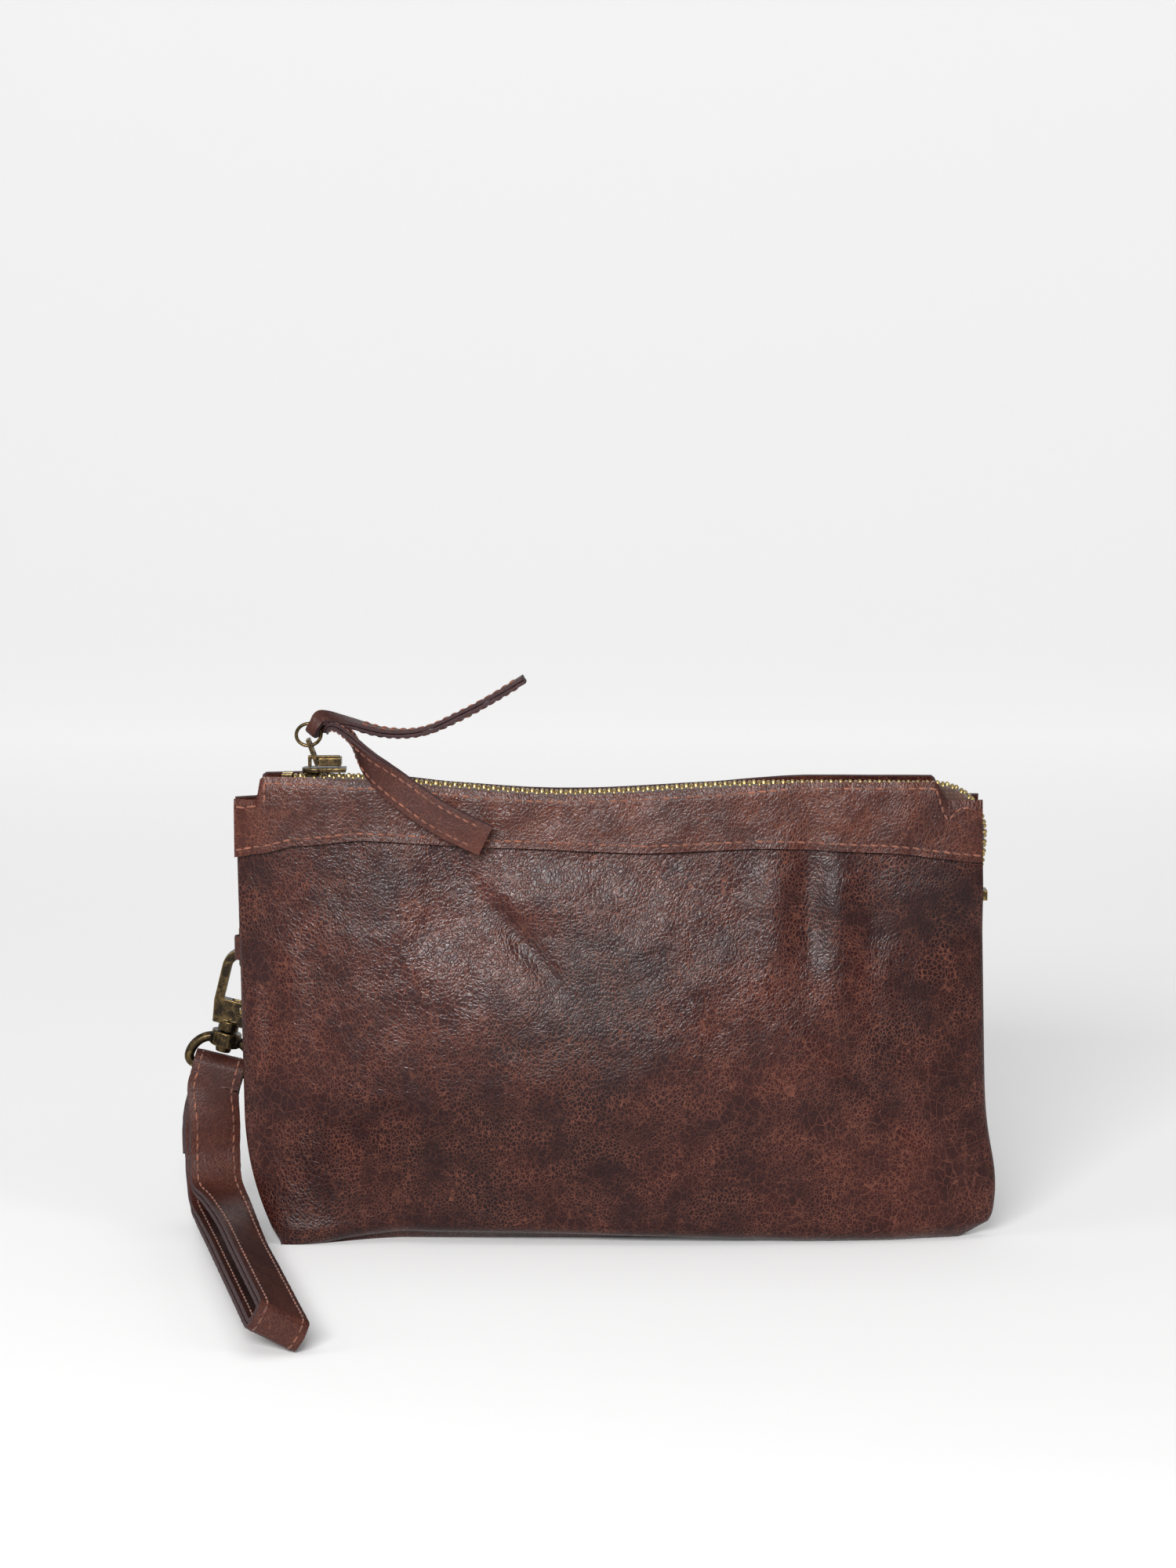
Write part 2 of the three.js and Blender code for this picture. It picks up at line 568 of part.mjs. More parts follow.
// A torus bent to a closed flat curve in the YZ plane.
function slabRing(curve, diameter, steps, sides) {
  const geometry = new THREE.TorusGeometry(2, 1, sides, steps);
  const corners = geometry.attributes.position;
  const centre = vec(0, 0, 0);
  for (let i = 0; i < corners.count; i += 1) {
    const around = Math.atan2(corners.getY(i), corners.getX(i));
    const share = ((around / (Math.PI * 2)) % 1 + 1) % 1;
    const off = Math.hypot(corners.getX(i), corners.getY(i)) - 2;
    curve.getPointAt(share, centre);
    const along = curve.getTangentAt(share);
    const outward = vec(0, along.z, -along.y);
    centre.addScaledVector(outward, (off * diameter) / 2);
    corners.setXYZ(i, centre.x + (corners.getZ(i) * diameter) / 2, centre.y, centre.z);
  }
  return facingOut(bare(geometry));
}

const dRing = part('d_ring', closedWire(dRingCurve(), 40, D_RING_WIRE, 48, 10), antiqueBrass());
dRing.position.set(dBarX, dBarY, D_RING_HEIGHT);

// The tab is a folded strip round the bar, its ends caught in the side seam.
function dRingTab() {
  const inner = D_RING_WIRE / 2 + CLEARANCE;
  const outer = inner + TAB_LEATHER;
  const shape = new THREE.Shape();
  shape.absarc(0, 0, outer, Math.PI * 0.15, Math.PI * 1.8);
  shape.absarc(0, 0, inner, Math.PI * 1.8, Math.PI * 0.15, true);
  const tab = new THREE.ExtrudeGeometry(shape, {
    depth: TAB_WIDTH,
    curveSegments: 20,
    bevelEnabled: false,
  });
  return tab.translate(dBarX, dBarY, D_RING_HEIGHT - TAB_WIDTH / 2);
}
part('d_ring_tab', dRingTab(), strapLeather());

// ---------------------------------------------------------------- snap hook
// Built upright about the D ring's wire, in the XZ plane, then tilted and set behind the seam.
const hookOrigin = vec(dBarX, dBarY + HOOK_OFFSET, D_RING_HEIGHT - dBow);
const hookGroup = new THREE.Group();
hookGroup.position.copy(hookOrigin);
hookGroup.rotation.y = rad(HOOK_TILT);
pouch.add(hookGroup);
const hookPart = (name, geometry, material) => part(name, geometry, material, hookGroup);

const bowCentre = -(HOOK_WIRE_GAP - D_RING_WIRE / 2 - CLEARANCE);
const bowOuter = HOOK_WIRE_GAP + HOOK_BAR;
const shankHalf = SHANK_WIDTH / 2;
const pinX = HOOK_WIRE_GAP + HOOK_BAR / 2 - HEEL_INSET;
const pinZ = HOOK_SHANK_TOP - GATE_DROP;
const BOW_TIP = -0.2;           // where the bow's tip ends, in radians from its level radius

// The swivel post is riveted into a socket in the foot of the shank.
function postSocket() {
  const reach = HOOK_SHANK_END + POST_SEAT + CLEARANCE - COLLAR_END + 2;
  const socket = new THREE.CylinderGeometry(1, 1, reach, 24);
  socket.scale(POST_DIAMETER / 2 + CLEARANCE, 1, POST_DIAMETER / 2 + CLEARANCE);
  return socket.rotateX(Math.PI / 2).translate(0, 0, COLLAR_END - 2 + reach / 2);
}

function hookBody() {
  const shape = new THREE.Shape();
  const tipX = Math.cos(BOW_TIP);
  const tipZ = Math.sin(BOW_TIP);
  shape.moveTo(-shankHalf, HOOK_SHANK_END);
  shape.lineTo(shankHalf, HOOK_SHANK_END);
  shape.lineTo(bowOuter, HOOK_SHANK_TOP - 1);
  shape.lineTo(HOOK_WIRE_GAP - 1, HOOK_SHANK_TOP);
  shape.lineTo(-HOOK_WIRE_GAP, HOOK_SHANK_TOP);
  shape.lineTo(-HOOK_WIRE_GAP, bowCentre);
  shape.absarc(0, bowCentre, HOOK_WIRE_GAP, Math.PI, BOW_TIP, true);
  shape.lineTo(bowOuter * tipX, bowCentre + bowOuter * tipZ);
  shape.absarc(0, bowCentre, bowOuter, BOW_TIP, Math.PI, false);
  shape.lineTo(-bowOuter, HOOK_SHANK_TOP - 1);
  const plate = new THREE.ExtrudeGeometry(shape, {
    depth: HOOK_THICKNESS,
    curveSegments: 14,
    bevelEnabled: false,
  });
  plate.translate(0, 0, -HOOK_THICKNESS / 2).rotateX(Math.PI / 2);
  const collar = rodZ(COLLAR_DIAMETER, COLLAR_DIAMETER, COLLAR_END, HOOK_SHANK_END + 1);
  const slotWidth = GATE_THICKNESS + 2 * CLEARANCE;
  const slotHeight = 2 * GATE_DROP + GATE_PIN - 2 * CLEARANCE;
  const slot = block(bowOuter + 4, slotWidth, slotHeight, pinX + 1.1, 0, pinZ + 0.1);
  const pinHole = rodY(GATE_PIN + 2 * CLEARANCE, HOOK_THICKNESS * 3, pinX, 0, pinZ);
  return cut(join(plate, collar), slot, pinHole, postSocket());
}
hookPart('hook_body', hookBody(), antiqueBrass());

const HEEL_REACH = 1.7;         // of the gate's heel, behind its pin

// The gate closes the bow's mouth and turns inwards on its pin; its heel is the thumb lever.
function gate() {
  const tipZ = bowCentre + Math.sin(BOW_TIP) * bowOuter - CLEARANCE;
  const shape = new THREE.Shape();
  shape.moveTo(pinX - HEEL_REACH, pinZ - 0.8);
  shape.lineTo(pinX + 1.4, pinZ - 1.5);
  shape.lineTo(pinX + 4.2, pinZ - 0.4);
  shape.lineTo(bowOuter - 0.2, pinZ + 3.4);
  shape.lineTo(bowOuter - 0.2, tipZ - 0.6);
  shape.lineTo(HOOK_WIRE_GAP + 0.5, tipZ - 0.6);
  shape.lineTo(pinX - HEEL_REACH, pinZ + 1.4);
  const plate = new THREE.ExtrudeGeometry(shape, { depth: GATE_THICKNESS, bevelEnabled: false });
  plate.translate(0, 0, -GATE_THICKNESS / 2).rotateX(Math.PI / 2);
  return cut(plate, rodY(GATE_PIN + 2 * CLEARANCE, GATE_THICKNESS * 3, pinX, 0, pinZ));
}
hookPart('hook_gate', gate(), antiqueBrass());

// A leaf spring stands in the slot behind the gate's heel.
const SPRING_LEAF = 0.4;
const springX = pinX - HEEL_REACH - 2 * CLEARANCE - SPRING_LEAF / 2;
hookPart('gate_spring', block(SPRING_LEAF, GATE_THICKNESS, 4.4, springX, 0, HOOK_SHANK_TOP - 2.8),
  springSteel());

const PIN_PROUD = 0.3;
hookPart('gate_pin', rodY(GATE_PIN, HOOK_THICKNESS + 2 * PIN_PROUD, pinX, 0, pinZ),
  antiqueBrass());

// ---------------------------------------------------------------- swivel eye
// A boss turns on the hook's post; the wire loop below it carries the strap.
const bossTop = COLLAR_END - CLEARANCE;
const bossEnd = bossTop - BOSS_LENGTH;
function swivelPost() {
  const headTop = bossEnd - CLEARANCE;
  const post = rodZ(POST_DIAMETER, POST_DIAMETER, bossEnd - 2 * CLEARANCE,
    HOOK_SHANK_END + POST_SEAT);
  return join(post, rodZ(POST_HEAD * 0.85, POST_HEAD, headTop - POST_HEAD_HEIGHT, headTop));
}
hookPart('swivel_post', swivelPost(), antiqueBrass());

const eyeTop = (bossTop + bossEnd) / 2;
const eyeBar = eyeTop - (EYE_HEIGHT - EYE_WIRE);
function eyeOutline() {
  const half = (EYE_WIDTH - EYE_WIRE) / 2;
  const shoulder = EYE_HEIGHT - EYE_WIRE - EYE_CORNER;
  const shape = new THREE.Path();
  shape.moveTo(0, eyeTop);
  shape.lineTo(half - shoulder, eyeTop);
  shape.absarc(half - shoulder, eyeTop - shoulder, shoulder, Math.PI / 2, 0, true);
  shape.absarc(half - EYE_CORNER, eyeBar + EYE_CORNER, EYE_CORNER, 0, -Math.PI / 2, true);
  shape.lineTo(EYE_CORNER - half, eyeBar);
  shape.absarc(EYE_CORNER - half, eyeBar + EYE_CORNER, EYE_CORNER, -Math.PI / 2, -Math.PI, true);
  shape.absarc(shoulder - half, eyeTop - shoulder, shoulder, Math.PI, Math.PI / 2, true);
  shape.lineTo(0, eyeTop);
  return shape;
}

function swivelEye() {
  const loop = closedWire(eyeOutline(), 60, EYE_WIRE, 60, 10).rotateZ(-Math.PI / 2);
  const boss = new THREE.CylinderGeometry(BOSS_DIAMETER / 2, BOSS_DIAMETER / 2, BOSS_LENGTH, 24);
  boss.rotateX(Math.PI / 2).translate(0, 0, (bossTop + bossEnd) / 2);
  const bore = new THREE.CylinderGeometry(1, 1, EYE_HEIGHT, 24);
  bore.scale(POST_DIAMETER / 2 + CLEARANCE, 1, POST_DIAMETER / 2 + CLEARANCE);
  bore.rotateX(Math.PI / 2).translate(0, 0, bossEnd + EYE_HEIGHT / 2 - 2 * CLEARANCE - 1);
  return cut(join(loop, boss), bore);
}
hookPart('swivel_eye', swivelEye(), antiqueBrass());

// ---------------------------------------------------------------- wrist strap
// The strap hangs from the eye's bar, bends near the ground and lies forward, rolled a little
// onto its right edge.  Its middle line runs between the two plies of the loop.
hookGroup.updateMatrixWorld(true);
const barCentre = vec(0, 0, eyeBar).applyMatrix4(hookGroup.matrixWorld);
const barAlong = vec(1, 0, 0).transformDirection(hookGroup.matrixWorld);
const PLY = 2 * STRAP_LAYER + CLEARANCE;
const plyOffset = Math.max(EYE_WIRE / 2 + CLEARANCE, STRAP_GAP / 2) + PLY / 2;
const strapLay = (STRAP_WIDTH / 2) * STRAP_ROLL + CLEARANCE
  + (plyOffset + PLY / 2) * Math.sqrt(1 - STRAP_ROLL ** 2);
const drop = barCentre.z - strapLay;
const runLength = STRAP_LENGTH - drop - 3;
const onRun = (share, sink) => vec(0.22 * share * runLength, -7 - 0.97 * share * runLength, -sink);
const hanging = vec(0.95, 0.3, 0);
const lying = vec(0.84, 0.2, -STRAP_ROLL);
const belowBar = (distance) => vec(0, 0, -distance).applyAxisAngle(vec(0, 1, 0), rad(HOOK_TILT));
const STRAP_STATIONS = [
  station(vec(0, 0, 0), barAlong),
  station(belowBar(3), barAlong),
  station(belowBar(6), barAlong),
  station(vec(-2, -0.5, -0.4 * drop), hanging),
  station(vec(-2, -1.5, -0.66 * drop), hanging),
  station(onRun(0.02, (1 - STRAP_BEND) * drop).add(vec(-1.2, 2, 0)), hanging),
  station(onRun(0.12, (1 - STRAP_BEND / 4) * drop), vec(0.9, 0.2, -0.3)),
  station(onRun(0.32, drop), lying),
  station(onRun(0.55, drop), lying),
  station(onRun(0.78, drop), lying),
  station(onRun(1, drop), lying),
];
const strapMiddle = new THREE.CatmullRomCurve3(
  STRAP_STATIONS.map((one) => one.at.add(barCentre)));
const strapAcross = new THREE.CatmullRomCurve3(STRAP_STATIONS.map((one) => one.across));

// Where the strip stands at a distance s below the bar, e in front of the middle line.
function strapPoint(s, e, across) {
  const length = strapMiddle.getLength();
  const share = clamp(s / length, 0, 1);
  const along = strapMiddle.getTangentAt(share);
  const side = strapAcross.getPoint(strapMiddle.getUtoTmapping(share));
  side.addScaledVector(along, -side.dot(along)).normalize();
  const front = along.clone().cross(side);
  return strapMiddle.getPointAt(share)
    .addScaledVector(along, s - share * length)
    .addScaledVector(front, e)
    .addScaledVector(side, across);
}

// The strip's own route: up the sewn tail, over the bar, down the front ply, round the end of
// the loop and back up behind, in distances below the bar and in front of the middle line.
function strapRoute() {
  const end = strapMiddle.getLength() - plyOffset;
  const tailOffset = plyOffset + PLY + CLEARANCE;
  const turn = (s, first, last) => [0, 0.25, 0.5, 0.75, 1].map((part) => {
    const angle = lerp(first, last, part);
    return vec(s + plyOffset * Math.sin(angle), plyOffset * Math.cos(angle), 0);
  });
  return new THREE.CatmullRomCurve3([
    vec(STRAP_TAIL, -tailOffset, 0),
    vec(STRAP_TAIL * 0.7, -tailOffset, 0),
    vec(STRAP_TAIL * 0.42, -tailOffset, 0),
    vec(STRAP_TAIL * 0.16, -lerp(plyOffset, tailOffset, 0.4), 0),
    ...turn(0, -Math.PI, 0).map((point) => vec(-Math.abs(point.x), point.y, 0)),
    ...[0.1, 0.2, 0.3, 0.4, 0.5, 0.6, 0.7, 0.8, 0.9].map((part) => vec(part * end, plyOffset, 0)),
    ...turn(end, 0, Math.PI),
    ...[0.9, 0.8, 0.7, 0.6, 0.5, 0.4, 0.3, 0.2].map((part) => vec(part * end, -plyOffset, 0)),
    vec(STRAP_TAIL * 0.46, -plyOffset, 0),
  ]);
}
const strapStrip = strapRoute();

function strapLayer(low, high) {
  return slab(110, 1, (u, v, w) => {
    const at = strapStrip.getPointAt(u);
    const along = strapStrip.getTangentAt(u);
    const off = lerp(low, high, w);
    return strapPoint(at.x - along.y * off, at.y + along.x * off, (v - 0.5) * STRAP_WIDTH);
  });
}
part('strap_outer', strapLayer(CLEARANCE / 2, PLY / 2), strapLeather());
part('strap_inner', strapLayer(-PLY / 2, -CLEARANCE / 2), strapLeather());

export default pouch;
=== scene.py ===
"""Looks for the zippered pouch: leather shell, bands, zip, pull, snap hook and wrist strap."""
import json
import math
import random

import bmesh
import bpy
import numpy as np
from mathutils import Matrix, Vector, noise


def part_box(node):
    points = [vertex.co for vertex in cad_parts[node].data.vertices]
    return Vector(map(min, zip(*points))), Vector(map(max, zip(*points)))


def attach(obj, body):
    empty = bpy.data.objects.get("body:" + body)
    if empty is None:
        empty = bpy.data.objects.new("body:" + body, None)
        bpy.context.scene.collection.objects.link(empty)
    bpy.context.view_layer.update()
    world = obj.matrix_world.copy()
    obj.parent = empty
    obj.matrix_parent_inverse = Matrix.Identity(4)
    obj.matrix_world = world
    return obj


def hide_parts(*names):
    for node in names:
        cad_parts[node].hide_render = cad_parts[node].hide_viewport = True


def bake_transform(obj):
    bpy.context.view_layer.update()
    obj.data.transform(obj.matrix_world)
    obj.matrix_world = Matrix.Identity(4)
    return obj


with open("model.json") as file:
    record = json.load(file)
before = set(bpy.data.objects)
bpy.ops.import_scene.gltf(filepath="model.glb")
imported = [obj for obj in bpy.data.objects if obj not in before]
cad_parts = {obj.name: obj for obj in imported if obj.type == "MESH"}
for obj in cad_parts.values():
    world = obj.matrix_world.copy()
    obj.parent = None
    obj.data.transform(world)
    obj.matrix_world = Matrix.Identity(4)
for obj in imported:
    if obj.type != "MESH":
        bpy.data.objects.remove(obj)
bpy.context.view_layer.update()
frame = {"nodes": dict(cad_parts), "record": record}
MM = 0.001
random.seed(7)

# ---------------- sizes, from the frame (mm)


def box_mm(node):
    low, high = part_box(node)
    return low / MM, high / MM


PANEL_LOW, _ = box_mm("front_panel")
BACK_LOW, BACK_HIGH = box_mm("back_panel")
TEETH_LOW, TEETH_HIGH = box_mm("zip_teeth_rear")

TOOTH_HEIGHT = 2.8
CHAIN_Z = TEETH_HIGH.z - TOOTH_HEIGHT / 2
HALF_WIDTH = -PANEL_LOW.x
BASE_HALF = -BACK_LOW.y
BELLY_HALF = BACK_HIGH.y
MOUTH_HALF = 6.6                 # panel face at the chain's height
LEATHER = 1.3
RIGHT_LEAN = 4.0
CORNER_RADIUS = 9.0
FOOT_ROUND = 5.0                 # how the front rolls under at the bottom
CHAIN_START = TEETH_LOW.x
CORNER_R = 14.0                  # chain's turn at the right corner
CHAIN_CORNER_X = TEETH_HIGH.x - TOOTH_HEIGHT / 2 - CORNER_R
CHAIN_END_Z = TEETH_LOW.z
PITCH = 2.84
SAG = 2.8                        # how far the closed zip sags near the middle
SAG_X = -14.0


def smooth(x, low, high):
    share = np.clip((x - low) / (high - low), 0.0, 1.0)
    return share * share * (3 - 2 * share)


def lerp(a, b, share):
    return a + (b - a) * share


def bell(x, middle, width):
    return np.exp(-(((x - middle) / width) ** 2))


def along_stations(x, stations):
    """A soft curve through a few (x, value) stations."""
    xs = np.array([s[0] for s in stations])
    vs = np.array([s[1] for s in stations])
    i = np.clip(np.searchsorted(xs, x) - 1, 0, len(xs) - 2)
    share = np.clip((x - xs[i]) / (xs[i + 1] - xs[i]), 0, 1)
    share = 0.5 * share + 0.5 * share * share * (3 - 2 * share)
    return vs[i] + (vs[i + 1] - vs[i]) * share


def sag(x):
    """How far the mouth's edge and the zip drop at x."""
    width = np.where(x < SAG_X, 48.0, 62.0)
    share = np.clip(np.abs(x - SAG_X) / width, 0, 1)
    return SAG * np.cos(share * math.pi / 2) ** 2


def wobble(point, scale, octaves=3):
    """Smooth noise in about -1..1 at a point given in mm, with features scale mm across."""
    return noise.fractal(Vector(point) / scale, 1.0, 2.0, octaves)

# ---------------- materials


class Nodes:
    """A short way to lay out a material's nodes."""

    def __init__(self, name):
        self.material = bpy.data.materials.new(name)
        self.material.use_nodes = True
        self.tree = self.material.node_tree
        self.shader = self.tree.nodes["Principled BSDF"]
        self.place = self.add("ShaderNodeTexCoord").outputs["Object"]

    def add(self, kind, inputs=(), **settings):
        node = self.tree.nodes.new(kind)
        for key, value in settings.items():
            setattr(node, key, value)
        self.feed(node, dict(inputs))
        return node

    def feed(self, node, inputs):
        """Each input is linked to another node's output, or set to a plain value."""
        for key, source in inputs.items():
            if hasattr(source, "is_output"):
                self.tree.links.new(source, node.inputs[key])
            else:
                node.inputs[key].default_value = source

    def noise(self, scale, detail=3.0, rough=0.55, distort=0.0):
        inputs = {"Vector": self.place, "Scale": scale, "Detail": detail, "Roughness": rough,
                  "Distortion": distort}
        return self.add("ShaderNodeTexNoise", inputs).outputs["Fac"]

    def cells(self, scale, vector, feature="DISTANCE_TO_EDGE"):
        inputs = {"Vector": vector, "Scale": scale}
        return self.add("ShaderNodeTexVoronoi", inputs, feature=feature).outputs["Distance"]

    def bands(self, direction, scale, distort):
        inputs = {"Vector": self.place, "Scale": scale, "Distortion": distort}
        return self.add("ShaderNodeTexWave", inputs, wave_type="BANDS",
                        bands_direction=direction).outputs["Fac"]

    def range(self, value, low, high, to_low=0.0, to_high=1.0):
        inputs = {"Value": value, "From Min": low, "From Max": high, "To Min": to_low,
                  "To Max": to_high}
        return self.add("ShaderNodeMapRange", inputs).outputs["Result"]

    def math(self, how, a, b):
        return self.add("ShaderNodeMath", {0: a, 1: b}, operation=how).outputs[0]

    def mix(self, share, a, b):
        inputs = {"Factor": share, "A": a, "B": b}
        return self.add("ShaderNodeMix", inputs, data_type="RGBA").outputs["Result"]

    def warp(self, scale, amount):
        """The object's place, pushed about by noise so that cells don't look ruled."""
        stir = self.add("ShaderNodeTexNoise", {"Vector": self.place, "Scale": scale})
        inputs = {0: stir.outputs["Color"], 1: (amount, amount, amount), 2: self.place}
        return self.add("ShaderNodeVectorMath", inputs, operation="MULTIPLY_ADD").outputs["Vector"]

    def stretch(self, vector, by):
        inputs = {0: vector, 1: by}
        return self.add("ShaderNodeVectorMath", inputs, operation="MULTIPLY").outputs["Vector"]

    def bump(self, height, distance, strength=1.0, after=None):
        inputs = {"Height": height, "Distance": distance, "Strength": strength}
        if after is not None:
            inputs["Normal"] = after
        return self.add("ShaderNodeBump", inputs).outputs["Normal"]

    def finish(self, colour, rough, normal=None, **rest):
        self.feed(self.shader, {"Base Color": colour, "Roughness": rough, **rest})
        if normal is not None:
            self.feed(self.shader, {"Normal": normal})
        return self.material


def srgb(red, green, blue):
    """A colour given in 0..255 display values."""
    values = []
    for part in (red, green, blue):
        share = part / 255
        values.append(share / 12.92 if share <= 0.04045 else ((share + 0.055) / 1.055) ** 2.4)
    return (*values, 1.0)


def leather(name, dark, warm, pale, vein=0.5, grain=1.0, shine=0.36):
    """Waxed pebbled leather: patchy colour, small cells with paler veins, soft uneven sheen."""
    n = Nodes(name)
    warped = n.stretch(n.warp(60, 0.007), (1.0, 0.8, 0.8))
    pebble = n.cells(980, warped)
    crackle = n.cells(340, warped)
    tone = n.cells(980, warped, "F1")
    patches = n.noise(17, 4, 0.6, 0.4)
    cloud = n.noise(85, 4, 0.65)
    speck = n.noise(1100, 3, 0.7)
    colour = n.mix(n.range(patches, 0.36, 0.66), dark, warm)
    colour = n.mix(n.range(cloud, 0.38, 0.66, 0.0, 0.5), colour, dark)
    colour = n.mix(n.range(tone, 0.15, 0.6, 0.0, 0.4), colour, dark)
    rub = n.math("MULTIPLY", n.range(pebble, 0.01, 0.11, 1, 0), n.range(cloud, 0.42, 0.62, 1, 0.15))
    crack = n.math("MULTIPLY", n.range(crackle, 0.0, 0.035, 1, 0), n.range(patches, 0.4, 0.6, 0.2, 1))
    veins = n.math("MULTIPLY", n.math("MAXIMUM", rub, crack), vein)
    colour = n.mix(veins, colour, pale)
    colour = n.mix(n.range(speck, 0.35, 0.7, 0.0, 0.45), colour, dark)
    rough = n.math("ADD", n.range(patches, 0.3, 0.7, shine + 0.06, shine - 0.05),
                   n.range(speck, 0.35, 0.7, -0.05, 0.12))
    fine = n.bump(n.range(pebble, 0.0, 0.25), 0.00005 * grain)
    broad = n.bump(n.range(crackle, 0.0, 0.07), 0.00003 * grain, after=fine)
    soft = n.bump(n.noise(55, 3, 0.55), 0.0006, 0.7, after=broad)
    return n.finish(colour, rough, soft, **{"Specular IOR Level": 0.22})


def cut_edge(name, dark, warm):
    """A raw cut edge: dark dye over fibres that run along it."""
    n = Nodes(name)
    fibre = n.noise(900, 4, 0.7, 1.2)
    colour = n.mix(n.range(fibre, 0.35, 0.7), dark, warm)
    return n.finish(colour, 0.8, n.bump(fibre, 0.00025))


def thread(name, dark, warm):
    """Twisted thread."""
    n = Nodes(name)
    twist = n.bands("DIAGONAL", 700, 1.0)
    colour = n.mix(n.range(n.noise(300, 3), 0.35, 0.65), dark, warm)
    return n.finish(colour, 0.7, n.bump(twist, 0.00012), **{"Sheen Weight": 0.2})


def woven(name, dark, warm, scale=1500):
    """Plain weave, from two crossed sets of bands."""
    n = Nodes(name)
    weave = n.math("MULTIPLY", n.bands("X", scale / 6.28, 0.6), n.bands("Z", scale / 6.28, 0.6))
    tone = n.math("ADD", n.range(n.noise(220, 4), 0.3, 0.7, 0.0, 0.5), n.math("MULTIPLY", weave, 0.5))
    colour = n.mix(tone, dark, warm)
    return n.finish(colour, 0.88, n.bump(weave, 0.0002), **{"Sheen Weight": 0.25})


def aged_brass(name, dark, bright, rubbed=0.5, shine=0.32):
    """Antique brass: a dark patina, rubbed bright on what stands proud."""
    n = Nodes(name)
    worn = n.add("ShaderNodeNewGeometry").outputs["Pointiness"]
    rub = n.range(worn, 0.5, 0.56)
    blotch = n.noise(420, 4, 0.65, 0.5)
    share = n.math("MINIMUM", n.math("ADD", n.math("MULTIPLY", rub, rubbed),
                                     n.range(blotch, 0.45, 0.75, 0.0, rubbed * 0.7)), 1.0)
    colour = n.mix(share, dark, bright)
    rough = n.range(n.noise(900, 3), 0.3, 0.7, shine, shine + 0.18)
    return n.finish(colour, rough, n.bump(n.noise(1300, 3), 0.00004), Metallic=0.95)


PANEL = leather("panel_leather", srgb(25, 7, 9), srgb(63, 22, 17), srgb(134, 82, 64), 0.5, 1.0, 0.3)
BAND = leather("band_leather", srgb(38, 15, 14), srgb(86, 42, 31), srgb(142, 90, 70), 0.4, 1.0, 0.32)
STRAP = leather("strap_leather", srgb(44, 20, 18), srgb(84, 43, 33), srgb(126, 80, 62), 0.3, 0.8, 0.44)
EDGE = cut_edge("cut_edge", srgb(38, 20, 24), srgb(66, 38, 38))
THREAD = thread("rust_thread", srgb(84, 44, 30), srgb(146, 84, 58))
TAPE = woven("zip_tape", srgb(52, 34, 28), srgb(98, 68, 56))
LINING = woven("lining", srgb(86, 74, 60), srgb(132, 116, 96), 900)
TOOTH = aged_brass("tooth_brass", srgb(66, 54, 36), srgb(188, 164, 110), 0.75, 0.3)
METAL = aged_brass("antique_brass", srgb(40, 34, 28), srgb(176, 146, 92), 0.42, 0.26)
STEEL = aged_brass("spring_steel", srgb(96, 96, 94), srgb(168, 168, 164), 0.6)

# ---------------- camera, light, floor
CAMERA_DISTANCE = 1.1            # m, to the top of the pouch
CAMERA_PITCH = math.radians(8.5)
VIEW_TOP = 0.137                 # height on the optical axis
VIEW_X = -0.0074
FOCAL_PX = 4767                  # for a frame of 1500 x 2000
FRAME_W, FRAME_H = 1500, 2000
PAPER_GLOW = (0.52, 0.12)        # added by the end of the level part, and then up the sweep


def camera():
    data = bpy.data.cameras.new("photo_camera")
    data.sensor_fit = "VERTICAL"
    data.sensor_height = 24.0
    data.sensor_width = 24.0 * FRAME_W / FRAME_H
    data.lens = FOCAL_PX / FRAME_H * data.sensor_height
    cam = bpy.data.objects.new("photo_camera", data)
    back = CAMERA_DISTANCE * math.cos(CAMERA_PITCH)
    up = CAMERA_DISTANCE * math.sin(CAMERA_PITCH)
    cam.location = (VIEW_X, -back, VIEW_TOP + up)
    cam.rotation_euler = (math.pi / 2 - CAMERA_PITCH, 0, 0)
    bpy.context.scene.collection.objects.link(cam)
    bpy.context.scene.camera = cam


def area_light(name, place, aim, size, power):
    data = bpy.data.lights.new(name, "AREA")
    data.shape = "RECTANGLE"
    data.size, data.size_y = size
    data.energy = power
    lamp = bpy.data.objects.new(name, data)
    lamp.location = place
    lamp.rotation_euler = (Vector(aim) - Vector(place)).to_track_quat("-Z", "Y").to_euler()
    bpy.context.scene.collection.objects.link(lamp)


def studio():
    area_light("key_box", (-0.25, -1.25, 0.62), (0, 0, 0.08), (0.65, 0.26), 24)
    area_light("side_box", (1.15, -0.75, 0.75), (0, 0, 0.08), (0.3, 0.7), 3)
    area_light("left_box", (-1.2, -0.5, 0.6), (0, 0, 0.08), (0.3, 0.7), 2.5)
    area_light("top_box", (0.0, -0.1, 1.5), (0, 0, 0.08), (1.8, 1.4), 8.8)
    world = bpy.data.worlds.new("pale_room")
    world.use_nodes = True
    world.node_tree.nodes["Background"].inputs["Color"].default_value = (0.95, 0.95, 0.95, 1)
    world.node_tree.nodes["Background"].inputs["Strength"].default_value = 0.12
    bpy.context.scene.world = world
    bpy.context.scene.view_settings.view_transform = "Standard"


